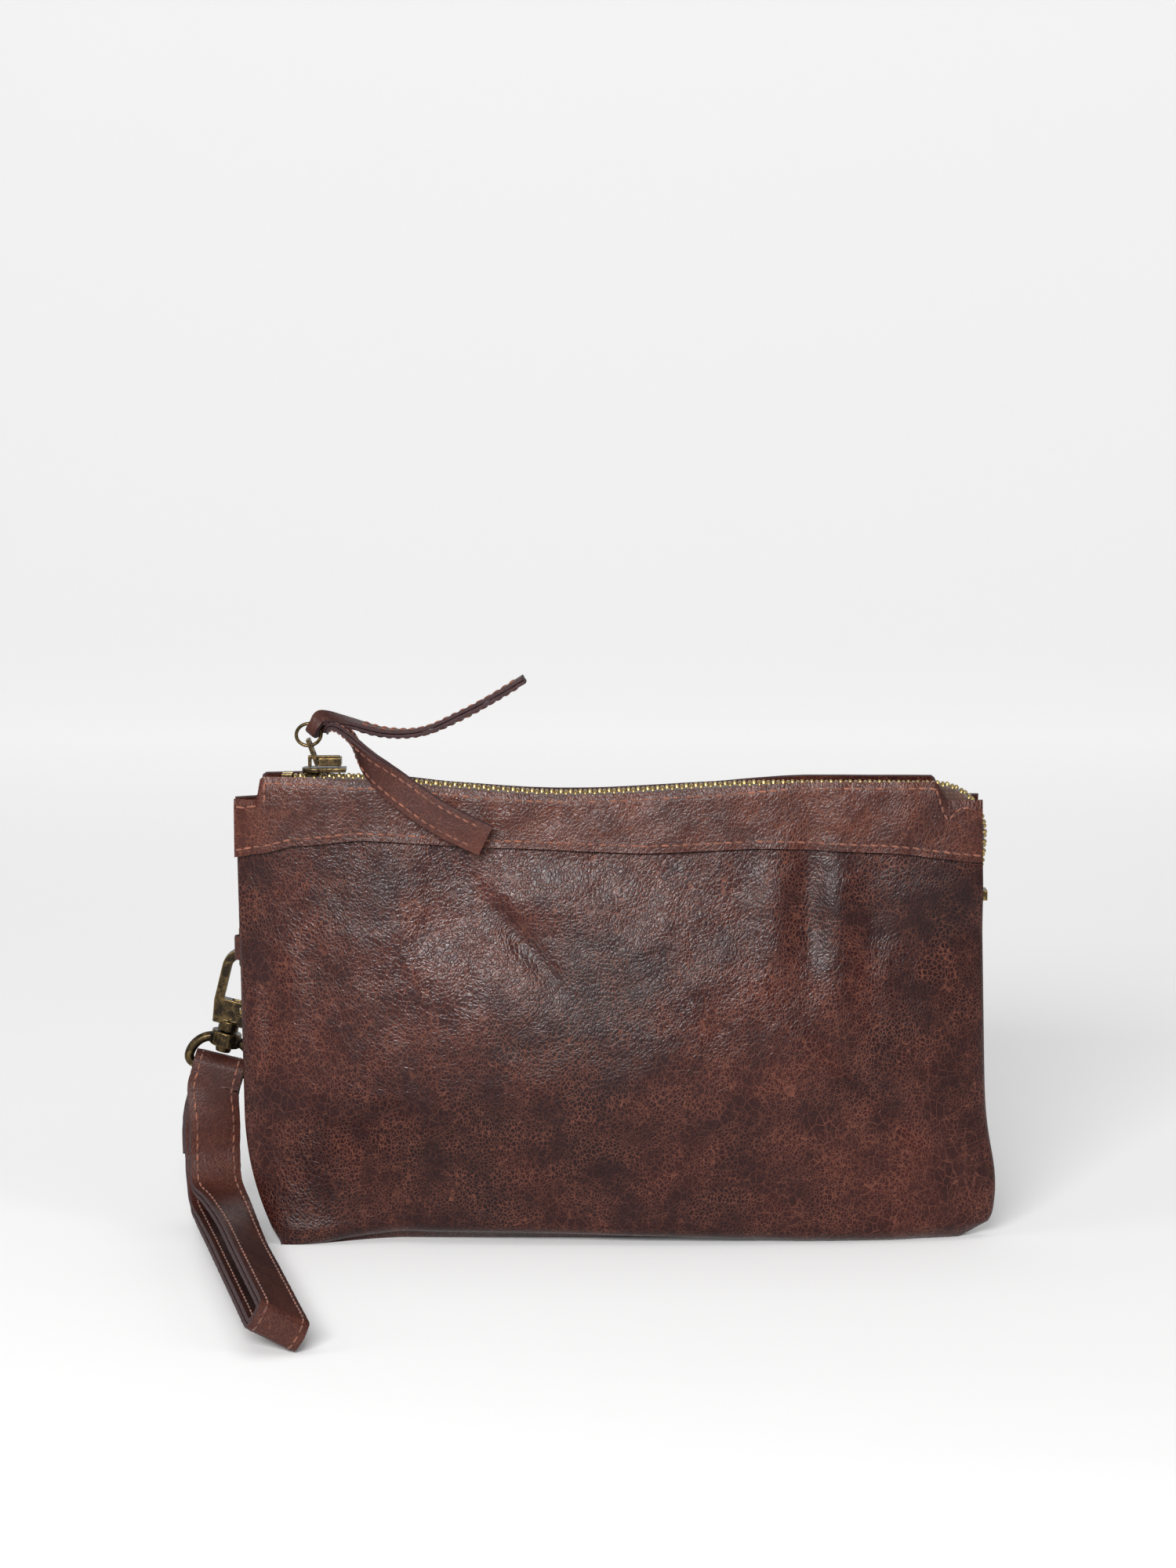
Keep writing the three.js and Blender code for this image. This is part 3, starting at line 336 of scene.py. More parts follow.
def floor():
    """A pale sheet: level under the pouch, swept up far behind it."""
    rows = []
    for i in range(41):
        share = i / 40
        if share < 0.5:
            rows.append((lerp(-3.0, 1.6, share * 2), 0.0))
        else:
            turn = (share - 0.5) * math.pi
            rows.append((1.6 + 2.2 * math.sin(turn), 2.2 * (1 - math.cos(turn))))
    mesh = bpy.data.meshes.new("floor")
    verts = [(x, y, z) for y, z in rows for x in (-5.0, 5.0)]
    faces = [(2 * i, 2 * i + 1, 2 * i + 3, 2 * i + 2) for i in range(len(rows) - 1)]
    mesh.from_pydata(verts, [], faces)
    sheet = bpy.data.objects.new("floor", mesh)
    bpy.context.scene.collection.objects.link(sheet)
    for face in mesh.polygons:
        face.use_smooth = True
    mesh.materials.append(pale_paper())


def pale_paper():
    """Pale paper that glows a little towards the back, where the lamps reach it less."""
    n = Nodes("pale_paper")
    back = n.add("ShaderNodeSeparateXYZ", {"Vector": n.place}).outputs["Y"]
    level = n.range(back, -0.2, 1.1, 0.0, PAPER_GLOW[0])
    sweep = n.range(back, 1.1, 3.0, 0.0, PAPER_GLOW[1])
    glow = {"Emission Color": (1, 1, 1, 1), "Emission Strength": n.math("ADD", level, sweep)}
    return n.finish((0.8, 0.8, 0.8, 1), 0.9, **{"Specular IOR Level": 0.1}, **glow)


camera()
studio()
floor()

# ---------------- mesh helpers


def make(name, verts, faces, materials, marks=None, recalc=True):
    """A mesh object from points in mm; marks gives each face's material number."""
    mesh = bpy.data.meshes.new(name)
    mesh.from_pydata([tuple(c * MM for c in v) for v in verts], [], faces)
    for material in materials:
        mesh.materials.append(material)
    mesh.polygons.foreach_set("use_smooth", [True] * len(faces))
    if marks is not None:
        mesh.polygons.foreach_set("material_index", marks)
    mesh.update()
    piece = bpy.data.objects.new(name, mesh)
    bpy.context.scene.collection.objects.link(piece)
    if recalc:
        face_out(mesh)
    return piece


def face_out(mesh):
    bm = bmesh.new()
    bm.from_mesh(mesh)
    bmesh.ops.recalc_face_normals(bm, faces=bm.faces)
    bm.to_mesh(mesh)
    bm.free()


def sheet_solid(name, outer, inner, out_normals, materials, bare=()):
    """A curved sheet between two grids of points (rows, columns, xyz) in mm.  Its rim takes
    material 1.  bare names the sides left open, where another piece carries the sheet on."""
    across, along = outer.shape[0] - 1, outer.shape[1] - 1
    verts = np.concatenate([inner.reshape(-1, 3), outer.reshape(-1, 3)])
    faces = []
    layer = (along + 1) * (across + 1)

    def at(i, j, w):
        return w * layer + j * (along + 1) + i

    for j in range(across):
        for i in range(along):
            faces.append((at(i, j, 1), at(i + 1, j, 1), at(i + 1, j + 1, 1), at(i, j + 1, 1)))
            faces.append((at(i, j, 0), at(i, j + 1, 0), at(i + 1, j + 1, 0), at(i + 1, j, 0)))
    skins = len(faces)
    rims = {
        "low": [(i, 0, i + 1, 0) for i in range(along)],
        "high": [(i + 1, across, i, across) for i in range(along)],
        "first": [(0, j + 1, 0, j) for j in range(across)],
        "last": [(along, j, along, j + 1) for j in range(across)],
    }
    for side, edges in rims.items():
        if side not in bare:
            for i, j, i2, j2 in edges:
                faces.append((at(i, j, 0), at(i2, j2, 0), at(i2, j2, 1), at(i, j, 1)))
    marks = [0] * skins + [1] * (len(faces) - skins)
    middle = np.cross(outer[across // 2, along // 2 + 1] - outer[across // 2, along // 2],
                      outer[across // 2 + 1, along // 2] - outer[across // 2, along // 2])
    if middle @ out_normals[across // 2, along // 2] < 0:
        faces = [tuple(reversed(face)) for face in faces]
    piece = make(name, verts, faces, materials, marks, recalc=False)
    crisp(piece.data, skins, np.concatenate([-out_normals.reshape(-1, 3), out_normals.reshape(-1, 3)]))
    return piece


def crisp(mesh, skins, normals):
    """Both skins shade by the sheet's own normals and the rim stays crisp."""
    corners = np.empty(len(mesh.loops), int)
    mesh.loops.foreach_get("vertex_index", corners)
    starts = np.empty(len(mesh.polygons), int)
    counts = np.empty(len(mesh.polygons), int)
    flat = np.empty(len(mesh.polygons) * 3)
    mesh.polygons.foreach_get("loop_start", starts)
    mesh.polygons.foreach_get("loop_total", counts)
    mesh.polygons.foreach_get("normal", flat)
    shown = normals[corners]
    face_of = np.repeat(np.arange(len(mesh.polygons)), counts)
    on_rim = face_of >= skins
    shown[on_rim] = flat.reshape(-1, 3)[face_of[on_rim]]
    mesh.normals_split_custom_set(shown.tolist())


def joined(name, pieces):
    """Several objects as one."""
    for other in pieces[1:]:
        assert other.data.materials[:] == pieces[0].data.materials[:], name
    bm = bmesh.new()
    for one in pieces:
        bm.from_mesh(one.data)
    mesh = pieces[0].data
    bm.to_mesh(mesh)
    bm.free()
    for one in pieces[1:]:
        bpy.data.objects.remove(one)
    pieces[0].name = name
    return pieces[0]


def close_tube(faces, base, rings, count):
    """Faces for a tube of rings of count points each, the first at base, with both ends shut."""
    for r in range(rings - 1):
        for k in range(count):
            a = base + r * count + k
            b = base + r * count + (k + 1) % count
            faces.append((a, b, b + count, a + count))
    faces.append(tuple(base + k for k in reversed(range(count))))
    last = base + (rings - 1) * count
    faces.append(tuple(last + k for k in range(count)))


def distances(points):
    """How far along its own line each point lies."""
    return np.concatenate([[0], np.cumsum([(b - a).length for a, b in zip(points, points[1:])])])


STITCH_RING = 6


def stitch_run(name, points, fronts, thick=0.55, gap=0.35, lean=0.0, length=2.6):
    """Thread lying along points (mm): one plump stitch to each length, its ends sunk between
    its neighbours.  fronts are the surface normals at the points."""
    points = [Vector(p) for p in points]
    fronts = [Vector(f).normalized() for f in fronts]
    reach = distances(points)
    count = max(1, int(reach[-1] / (length + gap)))
    pitch = reach[-1] / count
    verts, faces = [], []

    def at(distance):
        i = min(max(np.searchsorted(reach, distance) - 1, 0), len(points) - 2)
        share = (distance - reach[i]) / max(reach[i + 1] - reach[i], 1e-6)
        return points[i].lerp(points[i + 1], share), fronts[i].lerp(fronts[i + 1], share)

    for k in range(count):
        start, _ = at(k * pitch + gap / 2)
        end, _ = at((k + 1) * pitch - gap / 2)
        _, front = at((k + 0.5) * pitch)
        along = (end - start).normalized()
        side = front.cross(along).normalized()
        start = start + side * (lean + random.uniform(-0.05, 0.05))
        end = end - side * (lean + random.uniform(-0.05, 0.05))
        along = (end - start)
        base = len(verts)
        stations = ((0.0, 0.0, -0.25), (0.1, 0.62, 0.0), (0.3, 0.95, 0.16), (0.5, 1.0, 0.2),
                    (0.7, 0.95, 0.16), (0.9, 0.62, 0.0), (1.0, 0.0, -0.25))
        for share, girth, rise in stations:
            centre = start + along * share + front * (rise * thick)
            for r in range(STITCH_RING):
                angle = 2 * math.pi * r / STITCH_RING
                off = side * math.cos(angle) + front * math.sin(angle) * 0.8
                verts.append(centre + off * (thick / 2 * max(girth, 0.12)))
        close_tube(faces, base, len(stations), STITCH_RING)
    return make(name, verts, faces, [THREAD])


def softened(name, node, material, voxel, rounds):
    """Cast metal: a CAD node's solid with its corners melted round."""
    mesh = frame["nodes"][node].data.copy()
    mesh.name = name
    piece = bpy.data.objects.new(name, mesh)
    bpy.context.scene.collection.objects.link(piece)
    mesh.materials.clear()
    mesh.materials.append(material)
    melted(piece, voxel, rounds)
    return piece


def melted(piece, voxel, rounds):
    remesh = piece.modifiers.new("melt", "REMESH")
    remesh.mode = "VOXEL"
    remesh.voxel_size = voxel * MM
    ease = piece.modifiers.new("ease", "SMOOTH")
    ease.factor = 0.6
    ease.iterations = rounds
    apply_all(piece)
    for face in piece.data.polygons:
        face.use_smooth = True


def apply_all(piece):
    graph = bpy.context.evaluated_depsgraph_get()
    mesh = bpy.data.meshes.new_from_object(piece.evaluated_get(graph))
    piece.modifiers.clear()
    piece.data = mesh


def settle(piece, body, slot, *nodes):
    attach(piece, body)
    if nodes:
        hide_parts(*nodes)
    return piece

# ---------------- the pouch's shape (mm)


def left_edge(z):
    tuck = 10.5 * np.maximum(0, 1 - z / 40) ** 2.2
    return -HALF_WIDTH + 0.8 + 2.0 * (1 - z / CHAIN_Z) + tuck


def right_edge(z):
    flare = 2.8 * bell(z, 17, 15)
    below = np.maximum(0, CORNER_RADIUS - z)
    corner = CORNER_RADIUS - np.sqrt(np.maximum(CORNER_RADIUS ** 2 - below ** 2, 0))
    return HALF_WIDTH - RIGHT_LEAN * z / CHAIN_Z + flare - corner


def middle_half(z):
    """Half the pouch's depth along its middle."""
    z = np.asarray(z, float)
    belly = 0.36 * CHAIN_Z
    low = BASE_HALF + (BELLY_HALF - BASE_HALF) * (1 - np.cos(np.clip(z / belly, 0, 1) * math.pi)) / 2
    top = (1 - np.cos(np.clip((z - belly) / (CHAIN_Z - belly), 0, 1) * math.pi)) / 2
    return np.where(z < belly, low, BELLY_HALF + (MOUTH_HALF - BELLY_HALF) * top)


def edge_half(share, z):
    """Half the gap between the walls' faces at the seams; it opens for the zip at the right."""
    opening = smooth(z, CHAIN_END_Z - 14, CHAIN_END_Z + 4) * smooth(share, 0.5, 0.8)
    return lerp(0.7, 5.0, opening)


def half_depth(x, z):
    share = np.clip((x - left_edge(z)) / (right_edge(z) - left_edge(z)), 0, 1)
    square = lerp(2.2, 6.0, smooth(z, 0.7 * CHAIN_Z, CHAIN_Z))
    lens = (1 - np.abs(2 * share - 1) ** square) ** 0.62
    edge = edge_half(share, z)
    return edge + (middle_half(z) - edge) * lens


def corner_pull(x, z):
    """The lower left corner is drawn forwards."""
    return -9.5 * smooth(-x, 62, 100) * np.clip(1 - z / 42, 0, 1) ** 2


def foot_lift(x):
    """The front fold stands off the floor between the two lower corners."""
    return 3.4 * smooth(x, -97, -58) * (1 - smooth(x, -40, 96)) ** 0.8


def relief_front(x, z):
    """What handling has done to the front: folds, dents and a full belly, outward in mm."""
    up = z / CHAIN_Z
    lift = -1.9 * bell(x, -101, 3.6) * bell(z, 68, 13) + 0.7 * bell(x, -95, 5) * bell(z, 66, 16)
    lift += 1.3 * bell(x, 47, 6.5) * bell(z, 103, 19) + 1.2 * bell(x, 66, 5.5) * bell(z, 100, 22)
    lift -= 1.1 * bell(x, 57.5, 4.5) * bell(z, 103, 22)
    lift -= 0.9 * bell(x, 76, 6) * bell(z, 98, 26)
    lift += 1.4 * bell(x, -74, 17) * bell(z, 96, 15) - 1.1 * bell(x, -49, 11) * bell(z, 108, 14)
    lift += 0.9 * bell(x, -14, 26) * bell(z, 106, 9)
    lift -= 1.2 * bell(x + 0.75 * (z - 95), -28, 5) * bell(z, 92, 17)
    lift += 0.8 * bell(x, 96, 9) * bell(z, 22, 20) - 0.9 * bell(x + 0.9 * (z - 40), 84, 6) * bell(z, 40, 20)
    lift -= 0.5 * bell(x + 0.35 * z, -38, 6) * bell(z, 60, 25)
    return lift * smooth(up, 0.01, 0.12)


def relief_back(x, z):
    lift = 1.2 * bell(x, 30, 30) * bell(z, 90, 22) - 1.2 * bell(x - 0.4 * z, 20, 7) * bell(z, 80, 26)
    lift += 1.0 * bell(x, -60, 18) * bell(z, 60, 30) - 0.9 * bell(x, 84, 6) * bell(z, 96, 22)
    return lift


def wrinkle(x, z, seed):
    """Soft unevenness at three sizes, in mm."""
    broad = wobble((x, z, seed), 34, 2) * 0.55
    mid = wobble((x * 1.2, z, seed + 40), 11, 3) * 0.2
    fine = wobble((x, z, seed + 90), 3.6, 2) * 0.045
    return broad + mid + fine


def wall_y(x, z, side):
    """Where the outer face of the front (side -1) or back (side 1) wall stands."""
    share = (x - left_edge(z)) / (right_edge(z) - left_edge(z))
    calm = smooth(share, 0.0, 0.1) * (1 - smooth(share, 0.9, 1.0))
    relief = relief_front(x, z) if side < 0 else relief_back(x, z)
    uneven = relief * smooth(share, -0.02, 0.04) + wrinkle(x, z, 3.0 if side < 0 else 60.0) * calm
    return side * (half_depth(x, z) + uneven) + corner_pull(x, z)


def chain_z(x):
    """Height of the chain's middle along the mouth."""
    return CHAIN_Z - 2.0 * smooth(x, -78, -50) - sag(x)


def drop_at(x):
    """How much lower than the slider's end the mouth's edge is."""
    return CHAIN_Z - chain_z(x)


# ---------------- walls

WALL_TOP = CHAIN_Z - 8.0
COLUMNS, ROWS = 200, 128
FOOT_ROWS = 20


def wall_grid(side, shares):
    """Points of a wall's outer face: rows from the underside up, columns at the given shares."""
    closer = [lerp(u, (1 - math.cos(math.pi * u)) / 2, 0.6) for u in shares]
    return [[wall_point(u, j, side) for u in closer] for j in range(ROWS + 1)]


def wall_point(u, j, side):
    if j >= FOOT_ROWS:
        share = (j - FOOT_ROWS) / (ROWS - FOOT_ROWS)
        z = lerp(FOOT_ROUND, WALL_TOP, share)
        x = lerp(float(left_edge(z)), float(right_edge(z)), u)
        lift = float(foot_lift(x)) * (1 - share) ** 3 if side < 0 else 0.0
        z_shown = z + lift - float(drop_at(x)) * share ** 3
        return Vector((x, float(wall_y(x, z, side)), z_shown))
    share = j / FOOT_ROWS
    x0 = lerp(float(left_edge(FOOT_ROUND)), float(right_edge(FOOT_ROUND)), u)
    x1 = lerp(float(left_edge(0.0)), float(right_edge(0.0)), u)
    y0 = float(wall_y(x0, FOOT_ROUND, side))
    centre = float(corner_pull(x0, 0.0))
    reach = abs(y0 - centre)
    radius = min(FOOT_ROUND, reach * 0.8)
    lift = float(foot_lift(x0)) if side < 0 else 0.0
    turn_start = 0.35
    if share >= turn_start:
        turn = (share - turn_start) / (1 - turn_start) * math.pi / 2
        y = y0 - side * radius * (1 - math.sin(turn))
        z = FOOT_ROUND * (1 - math.cos(turn)) + lift
        x = lerp(x1, x0, 1 - math.cos(turn))
        return Vector((x, y, z))
    inner = share / turn_start
    y = lerp(centre + side * min(1.0, reach * 0.1), y0 - side * radius, inner)
    return Vector((x1, y, lift * smooth(inner, 0.0, 1.0)))


def skin(name, grid, thick, materials, towards, bare=()):
    """A skin that grows inwards from a grid of points, towards a point in mm.  On a bare side
    the grid has one column more than the skin, so that its normals run on into the next."""
    outer = np.array([[tuple(p) for p in row] for row in grid])
    rows, columns = outer.shape[0] - 1, outer.shape[1] - 1
    normal = np.cross(np.gradient(outer, axis=1), np.gradient(outer, axis=0))
    normal /= np.maximum(np.linalg.norm(normal, axis=2, keepdims=True), 1e-9)
    middle = normal[rows // 2, columns // 2]
    inwards = np.array(towards) - outer[rows // 2, columns // 2]
    sign = 1.0 if float(middle @ inwards) > 0 else -1.0
    inner = outer + normal * sign * thick
    first = 1 if "first" in bare else 0
    last = columns if "last" in bare else columns + 1
    keep = slice(first, last)
    return sheet_solid(name, outer[:, keep], inner[:, keep], -normal[:, keep] * sign, materials, bare)


def columns_between(left, right, count):
    """Shares of the width for a piece's columns, with one more beyond an end that runs on."""
    step = (right - left) / count
    shares = [left + step * i for i in range(count + 1)]
    bare = []
    if left > 0:
        shares.insert(0, left - step)
        bare.append("first")
    if right < 1:
        shares.append(right + step)
        bare.append("last")
    return shares, tuple(bare)


def split_blend(name, build, node):
    """The front's pieces come in a left and a right half, because the mouth opens between
    places near its two ends."""
    left = build(name + "_left", 0.0, 0.5)
    right = build(name + "_right", 0.5, 1.0)
    for piece in (left, right):
        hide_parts(node)
    opening(left, "left")
    opening(right, "right")
    return left, right


def opening(piece, end):
    if end == "left":
        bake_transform(piece)
    else:
        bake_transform(piece)


def front_half(name, left, right):
    shares, bare = columns_between(left, right, COLUMNS // 2)
    piece = skin(name, wall_grid(-1, shares), LEATHER, [PANEL, EDGE], (0, 0, 70), bare)
    return piece


def back_wall():
    shares, _ = columns_between(0.0, 1.0, COLUMNS)
    piece = skin("back_wall", wall_grid(1, shares), LEATHER, [PANEL, EDGE], (0, 0, 70))
    settle(piece, "pouch", "panel_leather", "back_panel")


split_blend("front_wall_leather", front_half, "front_panel")
back_wall()

# ---------------- top bands

BAND_LIFT = LEATHER + 0.25       # band's face in front of the wall's


def band_low(x):
    """The band's raw lower edge, along x."""
    return along_stations(x, [(-113, 115.4), (-104, 117.2), (-93, 119.8), (-73, 121.6), (-36, 119.6),
                              (10, 118.0), (45, 119.4), (80, 118.0), (110, 114.6)])


def band_high(x):
    """The band's upper edge, cut down at the left end and at the right corner."""
    step_left = 5.8 * (1 - smooth(x, -104.6, -103.2))
    step_right = 5.4 * smooth(x, 94.5, 97.5)
    base = CHAIN_Z - 0.2 - 1.6 * smooth(x, -72, -46) - 0.86 * sag(x) + 1.5 * smooth(x, 28, 60)
    ear = 1.1 * smooth(x, -105, -104) * (1 - smooth(x, -90, -78))
    return base + ear - step_left - step_right


def band_gape(x):
    """How far the band stands off towards its cut lower edge."""
    return 0.5 + 0.35 * bell(x, -60, 26) + 0.45 * bell(x, 78, 16) + 0.3 * bell(x, 0, 20)


def band_point(x, share, side, off=0.0):
    """A point on the band's outer face; off is how far outside it."""
    low = float(band_low(x))
    high = float(band_high(x))
    z_shown = lerp(low, high, share)
    z = min(z_shown + float(drop_at(x)) * (z_shown / CHAIN_Z) ** 3, CHAIN_Z + 0.5)
    gape = float(band_gape(x)) * (1 - share) ** 3
    roll = -0.5 * max(0.0, share - 0.86) / 0.14
    swell = 0.5 * math.sin(math.pi * share) + wobble((x, z, 9.0 if side < 0 else 77.0), 16, 3) * 0.28
    x_wall = min(max(x, float(left_edge(z)) + 0.2), float(right_edge(z)) - 0.2)
    out = BAND_LIFT + gape + roll + swell + off
    return Vector((x, float(wall_y(x_wall, z, side)) + side * out, z_shown))


def band_span(z=125.0):
    return float(left_edge(z)) - 0.5, float(right_edge(z)) - 0.2


def band(name, left, right, side=-1):
    first, last = band_span()
    shares, bare = columns_between(left, right, round(220 * (right - left)))
    grid = [[band_point(lerp(first, last, u), j / 22, side) for u in shares] for j in range(23)]
    piece = skin(name, grid, LEATHER, [BAND, EDGE], (0, 0, 125), bare)
    return piece


def stitches_on(name, side, path, length=2.5):
    """A stitch line through (x, share) places on the band's face."""
    points = [band_point(x, share, side, 0.05) for x, share in path]
    normals = [Vector((0, side, 0.1)) for _ in path]
    return stitch_run(name, points, normals, thick=0.62, gap=0.55, lean=0.09, length=length)


def rows_of_band(left, right):
    """The band's stitch lines between two shares of its length, as point lists."""
    first, last = band_span()
    xs = [lerp(first, last, lerp(left, right, i / 150)) for i in range(151)]
    lower = []
    upper = []
    for x in xs:
        height = float(band_high(x) - band_low(x))
        lower.append((x, 2.1 / height))
        if -103.0 < x < 95.5:
            upper.append((x, 1 - 1.9 / height))
    return lower, upper


def band_threads(name, left, right, side=-1):
    lower, upper = rows_of_band(left, right)
    runs = [stitches_on(name + "_low", side, lower), stitches_on(name + "_high", side, upper)]
    if left == 0.0:
        down = [(-102.2, 0.93 - 0.29 * k / 4) for k in range(5)]
        out = [(-102.2 - 9.0 * k / 4, 0.86 if k else 0.64) for k in range(1, 5)]
        runs.append(stitches_on(name + "_down", side, down, length=2.0))
        runs.append(stitches_on(name + "_out", side, out, length=2.2))
    if right == 1.0:
        slope = [(94.4, 0.9), (95.6, 0.8), (96.8, 0.72), (98.0, 0.66)]
        rise = [(98.4, 0.68), (99.8, 0.78), (101.4, 0.86), (104.4, 0.88)]
        runs.append(stitches_on(name + "_slope", side, slope, length=1.8))
        runs.append(stitches_on(name + "_rise", side, rise, length=1.8))
    piece = joined(name, runs)
    return piece


split_blend("front_band_leather", band, "front_band")
split_blend("front_band_thread", band_threads, "front_band")
settle(band("back_band_leather", 0.0, 1.0, 1), "pouch", "band_leather", "back_band")
settle(band_threads("back_band_thread", 0.0, 1.0, 1), "pouch", "band_leather", "back_band")

# ---------------- zip

CHAIN_LEVEL = CHAIN_CORNER_X - CHAIN_START
CHAIN_TURN = CORNER_R * math.pi / 2
CHAIN_LONG = CHAIN_LEVEL + CHAIN_TURN + (CHAIN_Z - CORNER_R - CHAIN_END_Z)
TOOTH_W = 1.3
TOOTH_GAP_HALF = 0.15


def chain_at(distance):
    """Point, direction along and direction outwards of the chain's middle."""
    if distance <= CHAIN_LEVEL:
        x = CHAIN_START + distance
        rise = float(chain_z(x + 0.5) - chain_z(x - 0.5))
        turn_in = float(smooth(x, 70, CHAIN_CORNER_X))
        z = float(chain_z(x)) - 0.2 * turn_in
        along = Vector((1, 0, rise)).normalized()
        return Vector((x, 0, z)), along, Vector((-along.z, 0, along.x))
    turn = min((distance - CHAIN_LEVEL) / CORNER_R, math.pi / 2)
    down = max(0.0, distance - CHAIN_LEVEL - CHAIN_TURN)
    base = float(chain_z(CHAIN_CORNER_X)) - 0.2
    along = Vector((math.cos(turn), 0, -math.sin(turn)))
    out = Vector((math.sin(turn), 0, math.cos(turn)))
    centre = Vector((CHAIN_CORNER_X, 0, base - CORNER_R))
    lean = -1.2 * min(1.0, down / 12) ** 2
    return centre + out * CORNER_R + Vector((lean, 0, -down)), along, out


def tooth(verts, faces, at, along, out, side):
    """One tooth: a rounded peg standing across the chain, cupped at its meeting end."""
    base = len(verts)
    cross = Vector((0, side, 0))
    rings = ((-0.55, 0.72, 0.8), (-0.3, 1.0, 1.0), (0.5, 1.0, 1.0), (1.6, 0.92, 0.95), (2.2, 0.8, 0.82),
             (2.7, 0.5, 0.5))
    count = 10
    jitter = random.uniform(-0.06, 0.06)
    for reach, wide, tall in rings:
        centre = at + cross * (TOOTH_GAP_HALF + reach) + along * jitter
        for k in range(count):
            angle = 2 * math.pi * k / count
            c, s = math.cos(angle), math.sin(angle)
            square = 1 / max(abs(c), abs(s)) ** 0.62
            verts.append(centre + along * (c * square * TOOTH_W / 2 * wide)
                         + out * (s * square * TOOTH_HEIGHT / 2 * 0.86 * tall))
    close_tube(faces, base, len(rings), count)


def tooth_row(name, side, left, right):
    """The teeth of one side; both sides alternate, so they mesh."""
    verts, faces = [], []
    count = int(CHAIN_LONG / (PITCH / 2))
    for k in range(count):
        if (k % 2 == 0) != (side < 0):
            continue
        at, along, out = chain_at(k * PITCH / 2 + 0.6)
        share = 0.0 if at.x < 0 else 1.0
        if not (left <= share <= right):
            continue
        tooth(verts, faces, at, along, out, side)
    piece = make(name, verts, faces, [TOOTH])
    return piece


def front_teeth(name, left, right):
    return tooth_row(name, -1, 0.0 if left == 0.0 else 1.0, 0.0 if right == 0.5 else 1.0)


def tape_grid(side, shares):
    """The woven tape, from the teeth out and down to the wall's inside."""
    grid = []
    for j in range(15):
        v = j / 14
        row = []
        for u in shares:
            at, _, out = chain_at(u * CHAIN_LONG)
            reach = 11.0 * v * v + 0.3
            p = at - out * reach + out * 0.6
            z = min(p.z + float(drop_at(p.x)) * (p.z / CHAIN_Z) ** 3, CHAIN_Z)
            x_in = min(max(p.x, float(left_edge(z)) + 3), float(right_edge(z)) - 0.6)
            wall = max(abs(float(wall_y(x_in, z, side))) - LEATHER - 0.8, 2.6)
            y = lerp(1.2, min(wall, 6.0), math.sin(min(v / 0.34, 1.0) * math.pi / 2))
            if v > 0.4:
                y = lerp(y, wall, float(smooth(v, 0.4, 0.8)))
            row.append(Vector((p.x, side * y, p.z)))
        grid.append(row)
    return grid


def tape(name, left, right, side=-1):
    shares, bare = columns_between(left, right, round(160 * (right - left)))
    piece = skin(name, tape_grid(side, shares), 0.55, [TAPE, TAPE], (0, 0, 80), bare)
    return piece


split_blend("zip_front_teeth", front_teeth, "zip_teeth_front")
split_blend("zip_front_tape", tape, "zip_tape_front")
settle(tooth_row("zip_rear_teeth", 1, 0.0, 1.0), "pouch", "tooth_brass", "zip_teeth_rear")
settle(tape("zip_rear_tape", 0.0, 1.0, 1), "pouch", "zip_tape", "zip_tape_rear")


def cloth_grid(side, shares):
    grid = []
    for j in range(41):
        z = lerp(6.0, CHAIN_Z - 12.5, j / 40)
        row = []
        for u in shares:
            x = lerp(float(left_edge(z)) + 5, float(right_edge(z)) - 9, u)
            y = float(half_depth(x, z)) - LEATHER - 2.2 + 0.4 * wobble((x, z, side * 30.0), 14, 3)
            z_shown = z - float(drop_at(x)) * (z / CHAIN_Z) ** 3
            row.append(Vector((x, side * max(y, 0.5) + float(corner_pull(x, z)), z_shown)))
        grid.append(row)
    return grid


def cloth(name, left, right, side=-1):
    count = round(100 * (right - left))
    shares = [lerp(left, right, i / count) for i in range(count + 1)]
    piece = skin(name, cloth_grid(side, shares), 0.35, [LINING, LINING], (0, 0, 60))
    return piece


for half in split_blend("front_lining_cloth", cloth, "front_lining"):
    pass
back_cloth = settle(cloth("back_lining_cloth", 0.0, 1.0, 1), "pouch", "lining", "back_lining")

# ---------------- leather strips


class Strip:
    """A flat strip along stations of (middle point, width direction, share of the width), in mm."""

    def __init__(self, stations, width):
        self.width = width
        self.at = Smooth([s[0] for s in stations])
        self.across = Smooth([s[1] for s in stations])
        self.share = Smooth([(s[2] if len(s) > 2 else 1.0, 0, 0) for s in stations])

    def frame(self, u):
        along = self.at.tangent(u)
        side = self.across.point(u)
        side = (side - along * side.dot(along)).normalized()
        return self.at.point(u), along, side, side.cross(along).normalized(), self.share.point(u).x

    def place(self, u, v, out):
        """A point u along, v across (-1..1) and out mm above the middle of the strip."""
        at, _, side, front, share = self.frame(u)
        return at + side * (v * share * self.width / 2) + front * out


class Smooth:
    """A centripetal curve through points, by Catmull and Rom's rule."""

    def __init__(self, points):
        self.points = [Vector(p) for p in points]

    def point(self, u):
        last = len(self.points) - 1
        k = min(int(u * last), last - 1)
        t = u * last - k
        p1, p2 = self.points[k], self.points[k + 1]
        p0 = self.points[k - 1] if k > 0 else p1 * 2 - p2
        p3 = self.points[k + 2] if k + 2 <= last else p2 * 2 - p1
        return (p1 * 2 + (p2 - p0) * t + (p0 * 2 - p1 * 5 + p2 * 4 - p3) * t * t
                + (p1 * 3 - p0 - p2 * 3 + p3) * t * t * t) * 0.5

    def tangent(self, u):
        step = 0.25 / (len(self.points) - 1)
        return (self.point(min(u + step, 1.0)) - self.point(max(u - step, 0.0))).normalized()


